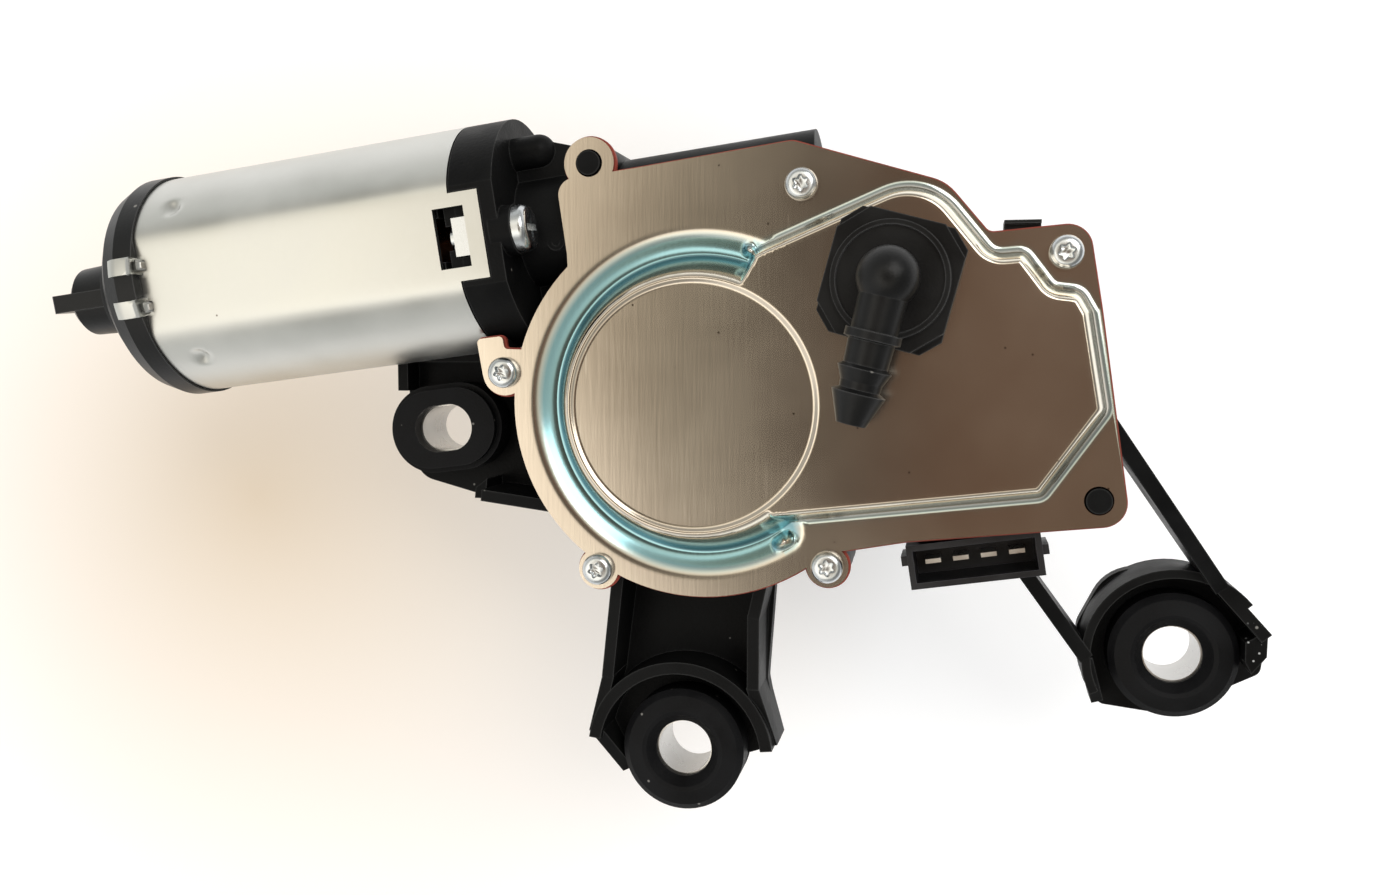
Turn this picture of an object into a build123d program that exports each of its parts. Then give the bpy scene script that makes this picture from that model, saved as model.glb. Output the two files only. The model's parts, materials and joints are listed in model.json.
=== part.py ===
from build123d import *
import os
from math import acos, atan2, cos, degrees, hypot, pi, radians, sin, tan

# Rear wiper motor, lying cover up. Z = 0 while modelling is the top face of the cover's flange,
# and the output spindle's axis is X = Y = 0. All lengths are in millimetres.

# Sheet, gasket and housing levels
sheet = 1.0
gasket_thick = 0.8
plateau_rise = 6.5
rim_level = -sheet - gasket_thick
floor_level = -18.2
floor_thick = 2.6
wall = 2.1
base_level = floor_level - floor_thick
arm_seat_depth = 66.0

# Worm drive
gear_module = 1.0
wheel_teeth = 63
worm_radius = 5.5
worm_length = 20.0
tooth_height = 0.8
tooth_width = 1.35
wheel_face = 8.0
wheel_x = -34.8
wheel_y = -21.5
motor_level = -12.7
motor_turn = 7.3
motor_roll = 4.0
wheel_radius = gear_module * wheel_teeth / 2
centre_distance = wheel_radius + worm_radius
bowl_inner = wheel_radius + tooth_height + 0.5
bowl_outer = bowl_inner + wall

# Linkage between wheel and spindle
crank_radius = 7.0
rod_length = 34.0
sector_module = 1.25
pinion_teeth = 14
sector_teeth = 22
sector_teeth_cut = 6
pinion_radius = sector_module * pinion_teeth / 2
sector_radius = sector_module * sector_teeth / 2
link_length = pinion_radius + sector_radius
gear_low = -0.8
gear_thick = 3.9
link_thick = 1.8
play = 0.3

# Shafts and bores
shaft_radius = 4.0
spindle_radius = 5.0
water_bore = 1.5
fit = 0.03
axle_radius = 4.0
pin_radius = 3.0

# Motor
yoke_radius = 21.8
yoke_flat = 19.8
yoke_wall = 1.6
yoke_near = -39.8
yoke_far = -105.5
flange_near = -31.0
nut_level = 15.7
nut_near = -37.3
tongue_near = -34.1
screw_seat = flange_near + 2.2
tongue_half = 8.0
core_radius = 13.8
magnet_inner = 14.3

# Brackets: centre, height of the plate's top face, and the bush that sits in it
low_bush = (-40.4, -89.6, -18.0)
right_bush = (52.2, -69.8, -33.0)
slot_bush = (-92.2, -27.6, -25.5)
plate_thick = 3.0
rubber_radius = 12.0
rubber_groove = 9.5
rubber_above = 7.6
rubber_below = 4.0
sleeve_outer = 6.6
sleeve_bore = 5.25
sleeve_above = 4.5
lip = 0.3
cup_radius = 18.2
right_cup_radius = 17.2
cup_rise = 10.0
rib = 2.3

# Screws
screw_head = 2.9
screw_head_height = 2.1
screw_shank = 1.5
screw_length = 12.0
cover_screw_places = [(-16.3, 17.5), (28.9, 4.9), (-72.0, -15.8), (-53.9, -52.3), (-11.2, -50.4)]
post_places = [(-55.3, 22.4), (35.2, -37.4)]
post_radius = 2.2

# Tube round the output spindle
tube_low = -52.0
tube_radius = 9.6
seal_radius = 9.3
seal_length = 8.0

# Connector
connector_turn = 8.8
connector_frame = Pos(14.7, -48.9, 0) * Rot(0, 0, connector_turn)
connector_low = -15.4
mouth_level = -3.0
blade_pitch = 5.0
lead_level = connector_low + 0.5
board_level = -9.0
board_thick = 1.6

pieces = {}


def foot_of(s, side=0.0):
    """Point in plan at distance s along the motor axis and side off it."""
    turn = radians(motor_turn)
    mesh_x = wheel_x - centre_distance * sin(turn)
    mesh_y = wheel_y + centre_distance * cos(turn)
    return (mesh_x + s * cos(turn) - side * sin(turn), mesh_y + s * sin(turn) + side * cos(turn))


# Motor frame: Z runs along the motor axis towards the gears, X points down, Y sideways
motor_frame = Pos(*foot_of(0), motor_level) * Rot(0, 0, motor_turn) * Rot(0, 90, 0) * Rot(0, 0, motor_roll)


def rod(x, y, radius, low, high):
    return Pos(x, y, (low + high) / 2) * Cylinder(radius, high - low)


def tube(x, y, outer, inner, low, high):
    return rod(x, y, outer, low, high) - rod(x, y, inner, low - 1, high + 1)


def block(x0, x1, y0, y1, z0, z1):
    return Pos((x0 + x1) / 2, (y0 + y1) / 2, (z0 + z1) / 2) * Box(x1 - x0, y1 - y0, z1 - z0)


def prism(face, low, high):
    return extrude(Pos(0, 0, low) * face, high - low, dir=(0, 0, 1))


def raised(face, height, draft):
    """Block standing on the face, its sides leaning inwards."""
    shape = extrude(face, height, taper=draft)
    return mirror(shape, about=Plane.XY) if shape.center().Z < 0 else shape


def outline(corners):
    """Closed outline from (x, y, corner radius) triples."""
    points = [(x, y) for x, y, r in corners]
    return make_face(FilletPolyline(*points, radius=[r for x, y, r in corners], close=True))


def turned(profile):
    """Solid of revolution about Z from (radius, height) points."""
    return revolve(make_face(Plane.XZ * Polyline(*profile, close=True)), Axis.Z)


def along_motor(shape):
    return motor_frame * shape


def linkage(crank):
    """Pin, sector centre and the angles of link, rod and pinion for a crank angle in degrees."""
    px = wheel_x + crank_radius * cos(radians(crank))
    py = wheel_y + crank_radius * sin(radians(crank))
    reach = hypot(px, py)
    bend = acos((link_length**2 + reach**2 - rod_length**2) / (2 * link_length * reach))
    link = atan2(py, px) % (2 * pi) + bend
    qx, qy = link_length * cos(link), link_length * sin(link)
    turn = atan2(py - qy, px - qx) % (2 * pi)
    ratio = sector_radius / pinion_radius
    return {"pin": (px, py), "sector": (qx, qy), "link": degrees(link), "rod": degrees(turn),
            "pinion": degrees(link * (1 + ratio) - turn * ratio)}


crank_steps = [linkage(step / 4) for step in range(1440)]
park = min(crank_steps, key=lambda state: state["pinion"])
far_end = max(crank_steps, key=lambda state: state["pinion"])
pin_x, pin_y = park["pin"]
sector_x, sector_y = park["sector"]


def gear_outline(module, teeth, low_tooth, high_tooth, backlash=0.22, add=0.9, ded=1.2):
    """Involute outline centred on the origin, with a tooth on the +X axis."""
    pitch = module * teeth / 2
    base = pitch * cos(radians(20))
    root = pitch - ded * module
    tip = pitch + add * module
    half = (pi * module / 2 - backlash) / 2 / pitch
    flank_start = tan(radians(20)) - radians(20)

    def spread(radius):
        press = acos(min(1.0, base / radius))
        return half - (tan(press) - press - flank_start)

    start = max(base, root)
    radii = [start + (tip - start) * k / 3 for k in range(4)]
    points = []
    for tooth in range(low_tooth, high_tooth + 1):
        middle = 2 * pi * tooth / teeth
        side = [(root, spread(start))] * (root < start) + [(r, spread(r)) for r in radii]
        points += [(r * cos(middle - a), r * sin(middle - a)) for r, a in side]
        points += [(r * cos(middle + a), r * sin(middle + a)) for r, a in reversed(side)]
    return points


# Cover and its outline


def round_post(x, y, radius):
    return Pos(x, y) * Circle(radius)


def cover_outline():
    corners = [(-61.6, 19.4, 3), (-47.0, 21.2, 3), (-18.0, 25.2, 4), (8.6, 17.2, 8), (16.0, 8.4, 2),
               (32.4, 9.8, 4), (34.9, -4.9, 9), (40.3, -41.4, 4), (3.0, -45.4, 1), (-9.0, -47.6, 1),
               (-30.0, -48.0, 1), (-58.0, -30.0, 1), (-59.6, 6.0, 1)]
    face = outline(corners) + Pos(wheel_x, wheel_y) * Circle(bowl_outer + 0.4)
    for x, y in cover_screw_places[3:]:
        face += round_post(x, y, 3.8)
    face += round_post(*post_places[0], 4.7)
    face += round_post(*cover_screw_places[2], 4.3)
    face += outline([(-77.5, -9.6, 0.8), (-76.2, -17.0, 1.0), (-62.0, -17.0, 1.0), (-66.0, -11.6, 0.8),
                     (-72.0, -11.4, 0.8), (-72.4, -9.0, 0.8)])
    return face


def plateau_outline(inset=0.0):
    corners = [(-30.0, -36.0, 1), (-28.0, 1.0, 1), (-24.6, 6.6, 3), (5.5, 19.3, 11), (17.0, 5.2, 3),
               (22.2, 5.6, 2.5), (26.9, -0.6, 2), (31.6, -1.2, 3), (33.8, -5.0, 3), (36.7, -22.0, 3),
               (26.0, -37.3, 2.5), (-21.0, -42.9, 1)]
    face = outline(corners) + Pos(wheel_x, wheel_y) * Circle(bowl_outer - 10.4)
    return offset(face, -inset) if inset else face


def cover_holes():
    holes = [rod(x, y, screw_shank + 0.3, -4, 3) for x, y in cover_screw_places]
    holes += [rod(x, y, post_radius + 0.3, -4, 3) for x, y in post_places]
    return holes


def ring_groove(radius, half_width, low, high):
    """Pressed groove round the left side of the dome."""
    start, end = 72.0, 304.0
    band = Circle(radius + half_width) - Circle(radius - half_width)
    wedge_points = [(0, 0)]
    for k in range(9):
        turn = radians(start + (end - start) * k / 8)
        wedge_points.append((60 * cos(turn), 60 * sin(turn)))
    band = band & make_face(Polyline(*wedge_points, close=True))
    for turn in (start, end):
        band += Pos(radius * cos(radians(turn)), radius * sin(radians(turn))) * Circle(half_width)
    return Pos(wheel_x, wheel_y, 0) * prism(band, low, high)


def cover_plate():
    groove_radius = bowl_inner - 3.6
    groove_half = 2.2
    draft = 12
    shell = prism(cover_outline(), -sheet, 0)
    shell += raised(plateau_outline(), plateau_rise, draft)
    shell -= Pos(0, 0, -sheet) * raised(plateau_outline(sheet), plateau_rise, draft)
    shell += ring_groove(groove_radius, groove_half, -1.2 - sheet, -sheet)
    shell -= ring_groove(groove_radius, groove_half - 0.7, -1.2, 1)
    pan_radius = bowl_inner - 10.4
    shell -= rod(wheel_x, wheel_y, pan_radius, plateau_rise - 0.5, plateau_rise + 1)
    shell -= rod(0, 0, spindle_radius + 3.0, -3, plateau_rise + 2)
    for hole in cover_holes():
        shell -= hole
    return shell


def gasket_ring():
    ring = prism(offset(cover_outline(), 0.3), rim_level, -sheet) - prism(cavity_outline(), -3, 0)
    for hole in cover_holes():
        ring -= hole
    return ring


def cavity_outline():
    """Inside of the housing: the wheel's bowl and the box for linkage and circuit board."""
    corners = [(-30.0, 8.0, 1), (-18.6, 14.0, 3), (-8.0, 14.6, 3), (6.0, 13.2, 6), (12.4, 5.0, 2),
               (23.0, 5.6, 3), (25.4, -2.6, 3), (31.6, -4.0, 3), (32.4, -31.0, 3), (26.0, -40.0, 3),
               (3.0, -42.6, 2), (-12.0, -44.0, 2), (-30.0, -30.0, 1)]
    return outline(corners) + Pos(wheel_x, wheel_y) * Circle(bowl_inner)


def cover_screw(x, y):
    head = rod(x, y, screw_head, 0, screw_head_height)
    head = fillet(head.faces().sort_by(Axis.Z)[-1].edges(), 1.0)
    star = Pos(x, y, 1.0) * (Circle(1.15) + [Rot(0, 0, 60 * k) * Pos(1.1, 0) * Circle(0.4) for k in range(6)])
    return head + rod(x, y, screw_shank, -screw_length, 0) - extrude(star, 3, dir=(0, 0, 1))


# Housing


def arm(start, end, width, top_start, top_end, low_start, low_end):
    """Upright rib from start to end, its top and lower edges each falling evenly."""
    length = hypot(end[0] - start[0], end[1] - start[1])
    turn = degrees(atan2(end[1] - start[1], end[0] - start[0]))
    side = make_face(Polyline((0, top_start), (length, top_end), (length, low_end), (0, low_start), close=True))
    web = extrude(Plane.XZ * side, width / 2, both=True)
    return Pos(start[0], start[1], 0) * Rot(0, 0, turn) * web


def cup(bush, radius, thick, start, end, rise):
    """Half-round wall that shields a rubber bush on the housing's side."""
    x, y, top = bush
    points = [(0, 0)]
    for k in range(7):
        turn = radians(start + (end - start) * k / 6)
        points.append((40 * cos(turn), 40 * sin(turn)))
    band = (Circle(radius) - Circle(radius - thick)) & make_face(Polyline(*points, close=True))
    return Pos(x, y, 0) * prism(band, top - plate_thick, top + rise)


def low_bracket():
    x, y, top = low_bush
    low = top - plate_thick
    plate = prism(outline([(-52.4, -46.0, 1), (-54.8, -76.0, 4), (-58.6, -87.0, 1.5), (-52.0, -98.0, 3),
                           (-38.0, -99.5, 3), (-29.0, -91.6, 1), (-22.0, -89.2, 1.5), (-24.6, -76.0, 4),
                           (-22.4, -46.0, 1)]), low, top)
    plate += rod(x, y, rubber_radius - 0.6, low, top)
    shape = plate + cup(low_bush, cup_radius, rib, 6, 172, cup_rise)
    shape += arm((-51.4, -50.0), (-54.6, -75.0), rib, -6.0, top + cup_rise, low, low)
    shape += arm((-54.4, -74.4), (-57.6, -86.4), rib, top + cup_rise, top + cup_rise - 1, low, low)
    shape += arm((-57.4, -85.8), (-52.4, -95.4), rib, top + cup_rise - 1, top + 3, low, low)
    shape += arm((-22.6, -48.0), (-25.8, -62.0), rib, -6.0, -7.0, low, low)
    shape += arm((-25.8, -61.4), (-26.0, -76.0), rib, -7.0, top + cup_rise, low, low)
    shape += arm((-26.2, -75.4), (-22.8, -87.6), rib, top + cup_rise, top + cup_rise - 3, low, low)
    return shape


def right_bracket():
    x, y, top = right_bush
    low = top - plate_thick
    plate = prism(outline([(36.4, -77.0, 2), (39.6, -81.6, 2), (52.0, -83.0, 4), (69.2, -74.0, 2),
                           (70.2, -66.0, 2), (62.0, -56.0, 5), (52.0, -52.4, 9), (40.0, -55.6, 9),
                           (34.8, -66.0, 5)]), low, top)
    shape = plate + cup(right_bush, right_cup_radius, 1.7, 40, 206, cup_rise)
    shape += arm((35.8, -22.4), (60.0, -56.2), 2.8, -3.0, top + cup_rise, base_level + 2, low)
    shape += arm((16.7, -43.0), (36.0, -70.4), 2.7, connector_low - 0.4, top + cup_rise, base_level - 2, low)
    shape += arm((36.0, -70.4), (38.8, -80.2), rib, top + cup_rise, top + 4, low, low)
    shape += arm((59.4, -55.4), (68.0, -65.0), rib, top + cup_rise, top + cup_rise, low, low)
    worn_tip = [(64.4, -66.0), (68.3, -63.6), (68.2, -68.6), (65.6, -72.0), (64.4, -69.6)]
    shape += prism(make_face(Polyline(*worn_tip, close=True)), low, top + cup_rise - 0.6)
    return shape


def slot_bracket():
    x, y, top = slot_bush
    low = top - plate_thick
    plate = prism(outline([(-103.0, -14.0, 1), (-103.0, -24.0, 2), (-104.8, -28.0, 6), (-100.4, -38.4, 5),
                           (-84.6, -42.6, 2), (-58.0, -47.0, 1), (-58.0, -14.0, 1)]), low, top)
    shape = plate
    shape += arm((-81.4, -40.4), (-60.0, -42.6), rib, -11.0, -8.0, low, low)
    shape += arm((-83.6, -12.0), (-83.6, -41.6), rib, -24.0, -16.0, low, low) - rod(x, y, rubber_radius + 2, -30, 0)
    shape += block(-103.0, -100.8, -20.0, -10.0, low, -20.0) + block(-103.0, -60, -14, -11.8, low, -20.5)
    return shape


def yoke_section(inset):
    """Yoke outline in the motor frame: a circle with a flat above and below."""
    return Circle(yoke_radius - inset) & Rectangle(2 * (yoke_flat - inset), 60)


def motor_mount():
    """Flange, neck, worm tunnel and ribs, in the motor frame."""
    worm_tip = worm_length / 2 + 16.0
    shape = prism(yoke_section(0.0), yoke_near + play, flange_near)
    shape += rod(0, 0, worm_radius + 5.2, flange_near - 1, worm_tip)
    shape += block(-1.8, 1.8, -19.0, 6.0, flange_near - 1, -8.0)
    shape += block(-9.0, 8.0, -1.4, 1.4, flange_near - 1, -20.0)
    shape += rod(-4.7, 14.6, 3.1, flange_near - 1, flange_near + 5.0) + Pos(-4.7, 14.6, flange_near + 5.0) * Sphere(3.1)
    for side in (-1, 1):
        shape += rod(side * nut_level, 0, 4.6, flange_near - 2, screw_seat)
    return shape


def top_web():
    """Plate between motor flange and locating post, with a small pilot boss beside the motor screw."""
    corners = [foot_of(-36, 17.4), foot_of(-26.6, 16.7), foot_of(-15.0, 12.6), foot_of(-13.0, 4.0), foot_of(-36, 4.0)]
    web = prism(make_face(Polyline(*corners, close=True)), -9.0, -6.8)
    pilot = rod(-62.6, 8.6, 1.7, motor_level, -2.6) - rod(-62.6, 8.6, 0.8, -6, 0)
    return web + pilot


def spigot():
    """Short step of the flange that centres the yoke, in the motor frame."""
    step = prism(yoke_section(yoke_wall + 0.3), yoke_near - 2.0, yoke_near + play)
    step -= rod(0, 0, 10.4, yoke_near - 4, flange_near)
    for side in (-1, 1):
        step -= rod(side * nut_level, 0, 2.2, yoke_near - 4, flange_near)
        low, high = sorted((side * nut_level, side * yoke_radius))
        step -= block(low, high, -2.2, 2.2, yoke_near - 4, yoke_near + play)
        low, high = sorted((side * (nut_level - 3.7), side * yoke_radius))
        step -= block(low, high, -3.7, 3.7, nut_near - 3.0, yoke_near + play)
    return step


def motor_openings():
    """Bores for shaft, bushes, commutator and motor screws, in the motor frame."""
    shape = rod(0, 0, worm_radius + tooth_height + 0.7, flange_near + 8.0, worm_length / 2 + 3.0)
    shape += rod(0, 0, shaft_radius + 1.0, flange_near - 3, worm_length / 2 + 4)
    shape += rod(0, 0, 7.6, flange_near - 2.5, flange_near + 5.6)
    shape += rod(0, 0, 10.4, yoke_near - 4, flange_near - 2.5)
    shape += rod(0, 0, 5.5, worm_length / 2 + 2, worm_length / 2 + 8.8)
    for side in (-1, 1):
        middle = side * nut_level
        shape += rod(middle, 0, 2.2, yoke_near - 4, screw_seat + 2)
        low, high = sorted((middle - side * 3.7, middle + side * 5.0))
        shape += block(low, high, -3.7, 3.7, nut_near - 3.0, nut_near + 0.1)
        low, high = sorted((side * (yoke_flat - yoke_wall - 0.1), side * (yoke_flat + 1)))
        shape += block(low, high, -tongue_half - 0.1, tongue_half + 0.1, yoke_near - 1, tongue_near + 0.2)
    return shape


def gear_housing():
    depth = rim_level - base_level
    body = prism(offset(cover_outline(), -0.4), base_level, rim_level)
    body -= prism(make_face(Polyline((-80, -5), (-80, -25), (-66, -25), (-66, -5), close=True)), -60, -9.0)
    body += along_motor(motor_mount()) + top_web()
    body += rod(0, 0, tube_radius, tube_low, base_level + 1)
    body -= tube(0, 0, tube_radius + 1, seal_radius, tube_low - 1, tube_low + seal_length)
    for turn in (20, 110, 200, 290):
        body += Rot(0, 0, turn) * arm((8.0, 0), (17.0, 0), rib, base_level + 1, base_level + 1, tube_low + 10, base_level)
    body += low_bracket() + right_bracket() + slot_bracket()
    cavity = prism(cavity_outline(), floor_level, 1)
    cavity -= rod(0, 0, tube_radius - 0.8, floor_level - 1, floor_level + 0.8)
    cavity -= rod(-16.3, 17.5, 4.2, floor_level - 1, 0)
    body -= cavity
    body -= along_motor(motor_openings())
    body -= along_motor(rod(0, 0, yoke_radius + 0.9, yoke_far - 30, yoke_near + play))
    body += along_motor(spigot())
    body -= connector_pocket()
    body += rod(wheel_x, wheel_y, 6.4, floor_level - 0.5, floor_level + 0.4)
    body -= rod(wheel_x, wheel_y, axle_radius + fit, floor_level - 1.6, 0)
    body -= rod(0, 0, 7.5, tube_low - 1, -1)
    for x, y, top in (low_bush, right_bush):
        body -= rod(x, y, rubber_groove + 0.2, top - plate_thick - 1, top + 1)
    slot_hole = Pos(*slot_bush[:2], 0) * Rot(0, 0, motor_turn) * SlotCenterToCenter(6.2, 2 * 6.6)
    body -= prism(slot_hole, slot_bush[2] - plate_thick - 1, slot_bush[2] + 1)
    for x, y in cover_screw_places:
        body += rod(x, y, 3.6, rim_level - 11.5, rim_level)
        body -= rod(x, y, screw_shank + fit, rim_level - 11.0, 0)
    for x, y in post_places:
        body += rod(x, y, post_radius + 1.6, base_level, rim_level) + rod(x, y, post_radius, rim_level, 0.6)
    return body


# Bushes


def round_grommet(bush):
    x, y, top = bush
    low = top - plate_thick
    lip_radius = sleeve_bore + lip
    ring = turned([(sleeve_outer + fit, top + sleeve_above + 0.05), (lip_radius, top + sleeve_above + 0.05),
                   (lip_radius, top + sleeve_above + 0.9), (7.2, top + rubber_above - 0.3),
                   (8.0, top + rubber_above), (rubber_radius - 1.2, top + rubber_above - 0.7),
                   (rubber_radius, top + rubber_above - 1.7), (rubber_radius, top + 0.05), (rubber_groove, top + 0.05),
                   (rubber_groove, low - 0.05), (rubber_radius, low - 0.05), (rubber_radius - 0.8, low - 2.6),
                   (rubber_radius - 3.0, low - rubber_below), (sleeve_outer + fit, low - rubber_below)])
    return Pos(x, y, 0) * ring


def round_sleeve(bush):
    x, y, top = bush
    return tube(x, y, sleeve_outer, sleeve_bore, top - plate_thick - rubber_below - 0.6, top + sleeve_above)


def slot_solid(radius, low, high):
    x, y, top = slot_bush
    return prism(Pos(x, y) * Rot(0, 0, motor_turn) * SlotCenterToCenter(6.2, 2 * radius), low, high)


slot_half = 4.5
slot_gap = 2.8


def slot_sleeve():
    top = slot_bush[2]
    low = top - plate_thick - rubber_below - 0.6
    high = top + sleeve_above
    x, y = slot_bush[:2]
    hole = prism(Pos(x, y) * Rot(0, 0, motor_turn) * SlotCenterToCenter(slot_gap, 2 * slot_half), low - 1, high + 1)
    body = prism(Pos(x, y) * Rot(0, 0, motor_turn) * SlotCenterToCenter(slot_gap, 2 * slot_half + 2.6), low, high)
    return body - hole


def slot_grommet():
    top = slot_bush[2]
    low = top - plate_thick
    x, y = slot_bush[:2]
    inner = Pos(x, y) * Rot(0, 0, motor_turn) * SlotCenterToCenter(slot_gap, 2 * (slot_half + 1.3 + fit))
    shape = slot_solid(9.0, top + 0.05, top + rubber_above - 1.6)
    shape += slot_solid(8.0, top + rubber_above - 1.6, top + rubber_above)
    shape += slot_solid(6.4, low - 0.05, top + 0.05)
    shape += slot_solid(9.0, low - 3.0, low - 0.05) + slot_solid(8.2, low - rubber_below, low - 3.0)
    mouth = Pos(x, y) * Rot(0, 0, motor_turn) * SlotCenterToCenter(slot_gap, 2 * (slot_half + lip))
    shape -= prism(inner, low - rubber_below - 1, top + sleeve_above + 0.05)
    return shape - prism(mouth, top, top + rubber_above + 1)


# Motor pieces, all modelled in the motor frame


def motor_yoke():
    body = prism(yoke_section(0), yoke_far, yoke_near)
    for side in (-1, 1):
        low, high = sorted((side * (yoke_flat - yoke_wall), side * yoke_flat))
        body += block(low, high, -tongue_half, tongue_half, yoke_near - 2, tongue_near)
    body -= prism(yoke_section(yoke_wall), yoke_far + yoke_wall, tongue_near + 1)
    cup_end = yoke_far - 11.0
    body += rod(0, 0, 8.6, cup_end, yoke_far + 0.5)
    body -= rod(0, 0, 7.0, cup_end + yoke_wall, yoke_far + 3)
    for side in (-1, 1):
        window = block(side * yoke_flat - 4, side * yoke_flat + 4, -5.5, 5.5, nut_near - 5.9, nut_near + 0.1)
        body -= window
    return body


def yoke_nut(side):
    low = nut_near - 2.8
    nut = block(side * nut_level - 3.5, side * nut_level + 3.5, -3.5, 3.5, low, nut_near)
    return nut - rod(side * nut_level, 0, 2.02, low - 1, low + 4)


def motor_screw(side):
    x = side * nut_level
    head = rod(x, 0, 4.3, screw_seat + 0.05, screw_seat + 2.6)
    head = fillet(head.faces().sort_by(Axis.Z)[-1].edges(), 1.2)
    slot = block(x - 0.6, x + 0.6, -2.4, 2.4, screw_seat + 1.4, screw_seat + 4)
    slot += block(x - 2.4, x + 2.4, -0.6, 0.6, screw_seat + 1.4, screw_seat + 4)
    return head + rod(x, 0, 2.0, yoke_near - 1.5, screw_seat + 0.05) - slot


def end_cap():
    skirt = yoke_radius + 0.5
    far = yoke_far
    outer = turned([(0, far + 1.0), (skirt, far + 1.0), (skirt, far - 3.0), (skirt - 1.6, far - 6.4),
                    (skirt - 5.4, far - 9.6), (11.4, far - 12.0), (10.6, far - 15.0), (7.4, far - 16.0),
                    (7.0, far - 24.6), (5.6, far - 26.0), (0, far - 26.0)])
    hollow = prism(yoke_section(-0.15), far, far + 3)
    hollow += turned([(0, far + 0.5), (skirt - 2.0, far + 0.5), (skirt - 2.0, far - 2.5),
                      (skirt - 4.0, far - 7.0), (9.2, far - 11.0), (8.75, far - 12.2), (0, far - 12.2)])
    shape = outer - hollow
    key = block(-8.2, 3.0, -1.8, 1.8, far - 28.8, far - 14.5)
    return shape + fillet(key.edges().filter_by(Axis.Y), 1.2)


magnet_far = yoke_far + 7.5
magnet_near = yoke_near - 15.0


def magnet(side):
    outer = yoke_radius - yoke_wall - 0.1
    ring = Circle(outer) - Circle(magnet_inner)
    sector = make_face(Polyline((0, 0), (-32, side * 26), (32, side * 26), close=True))
    return prism(ring & sector, magnet_far, magnet_near)


core_far = magnet_far + 4.0
core_near = magnet_near - 4.0
core_slots = 8


def armature_core():
    face = Circle(core_radius)
    for k in range(core_slots):
        slot = Pos(core_radius - 1, 0) * Rectangle(5, 1.6) + Pos(core_radius - 4.6, 0) * Circle(2.4)
        face -= Rot(0, 0, 360 * k / core_slots) * slot
    return prism(face, core_far, core_near) - rod(0, 0, shaft_radius + fit, core_far - 1, core_near + 1)


def windings():
    shape = tube(0, 0, core_radius - 1.6, shaft_radius + 1.0, core_far - 5.5, core_far - fit)
    shape += tube(0, 0, core_radius - 1.6, shaft_radius + 1.0, core_near + fit, core_near + 5.5)
    for k in range(core_slots):
        turn = radians(360 * k / core_slots)
        x, y = (core_radius - 4.6) * cos(turn), (core_radius - 4.6) * sin(turn)
        shape += rod(x, y, 2.0, core_far - 2, core_near + 2)
    return shape


commutator_far = core_near + 6.0
commutator_near = yoke_near + 1.0
commutator_radius = 7.6


def commutator():
    shape = tube(0, 0, commutator_radius, shaft_radius + fit, commutator_far, commutator_near)
    for k in range(core_slots):
        cut = block(commutator_radius - 1.0, commutator_radius + 1, -0.25, 0.25, commutator_far - 1, commutator_near + 1)
        shape -= Rot(0, 0, 360 * k / core_slots) * cut
    return shape


def worm_thread():
    """Worm cut on the shaft: its cross section turned along the axis, one full turn for each pitch."""
    lead = pi * gear_module
    root = worm_radius - tooth_height - 0.4
    tip = worm_radius + tooth_height
    top = (tooth_width - 2 * tooth_height * tan(radians(20))) / lead * 2 * pi
    flank = (tip - root) * tan(radians(20)) / lead * 2 * pi

    def at(radius, turn):
        return (radius * cos(turn), radius * sin(turn))

    middle = (root + tip) / 2
    a, b = top / 2, top / 2 + flank
    wires = ThreePointArc(at(tip, -a), at(tip, 0), at(tip, a)) + ThreePointArc(
        at(tip, a), at(middle, a + flank / 2), at(root, b))
    wires += ThreePointArc(at(root, b), at(root, pi), at(root, -b)) + ThreePointArc(
        at(root, -b), at(middle, -a - flank / 2), at(tip, -a))
    section = make_face(wires)
    turns = 360 * worm_length / lead
    thread = Solid.extrude_linear_with_rotation(section.face(), (0, 0, -worm_length / 2), (0, 0, worm_length), turns)
    return Rot(0, 0, -90 - motor_roll) * thread


shaft_far = yoke_far - 7.0
front_journal = 3.0
front_near = worm_length / 2 + 8.4
ball_radius = 1.15


def armature_shaft():
    shape = rod(0, 0, shaft_radius, shaft_far, -worm_length / 2)
    shape += rod(0, 0, shaft_radius, worm_length / 2, worm_length / 2 + 2.0)
    shape += rod(0, 0, front_journal, worm_length / 2 + 2.0, front_near)
    return shape + worm_thread()


def brush_holder():
    back = yoke_near - 5.6
    plate = prism(yoke_section(yoke_wall + 0.4), back, back + 2.4) - rod(0, 0, 9.6, back - 1, back + 4)
    for side in (-1, 1):
        low, high = sorted((side * 10.4, side * 18.6))
        box = block(-4.2, 4.2, low, high, back - 6.4, back + 0.5) - block(-3.1, 3.1, low - 1, high + 1, back - 5.4, back - 0.6)
        plate += box
        plate -= block(side * nut_level - 4.0, side * nut_level + 8, -4.0, 4.0, back - 1, back + 4)
    return plate


def brush(side):
    back = yoke_near - 5.6
    low, high = sorted((side * (commutator_radius - 1.5), side * 14.6))
    return block(-2.9, 2.9, low, high, back - 5.2, back - 0.8) - rod(0, 0, commutator_radius + 0.08, back - 8, back + 2)


def brush_spring(side):
    """Coiled strip spring that pushes the brush, drawn as its wound outline."""
    back = yoke_near - 5.6
    coil = tube(0, 0, 1.7, 1.1, -2.0, 2.0)
    return Pos(0, side * 16.35, back - 3.0) * Rot(0, 90, 0) * coil


def rear_bush():
    return tube(0, 0, 7.0 - fit, shaft_radius + fit, yoke_far - 8.4, yoke_far - 2.0)


def thrust_ball():
    return Pos(0, 0, shaft_far - ball_radius - 0.05) * Sphere(ball_radius)


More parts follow.
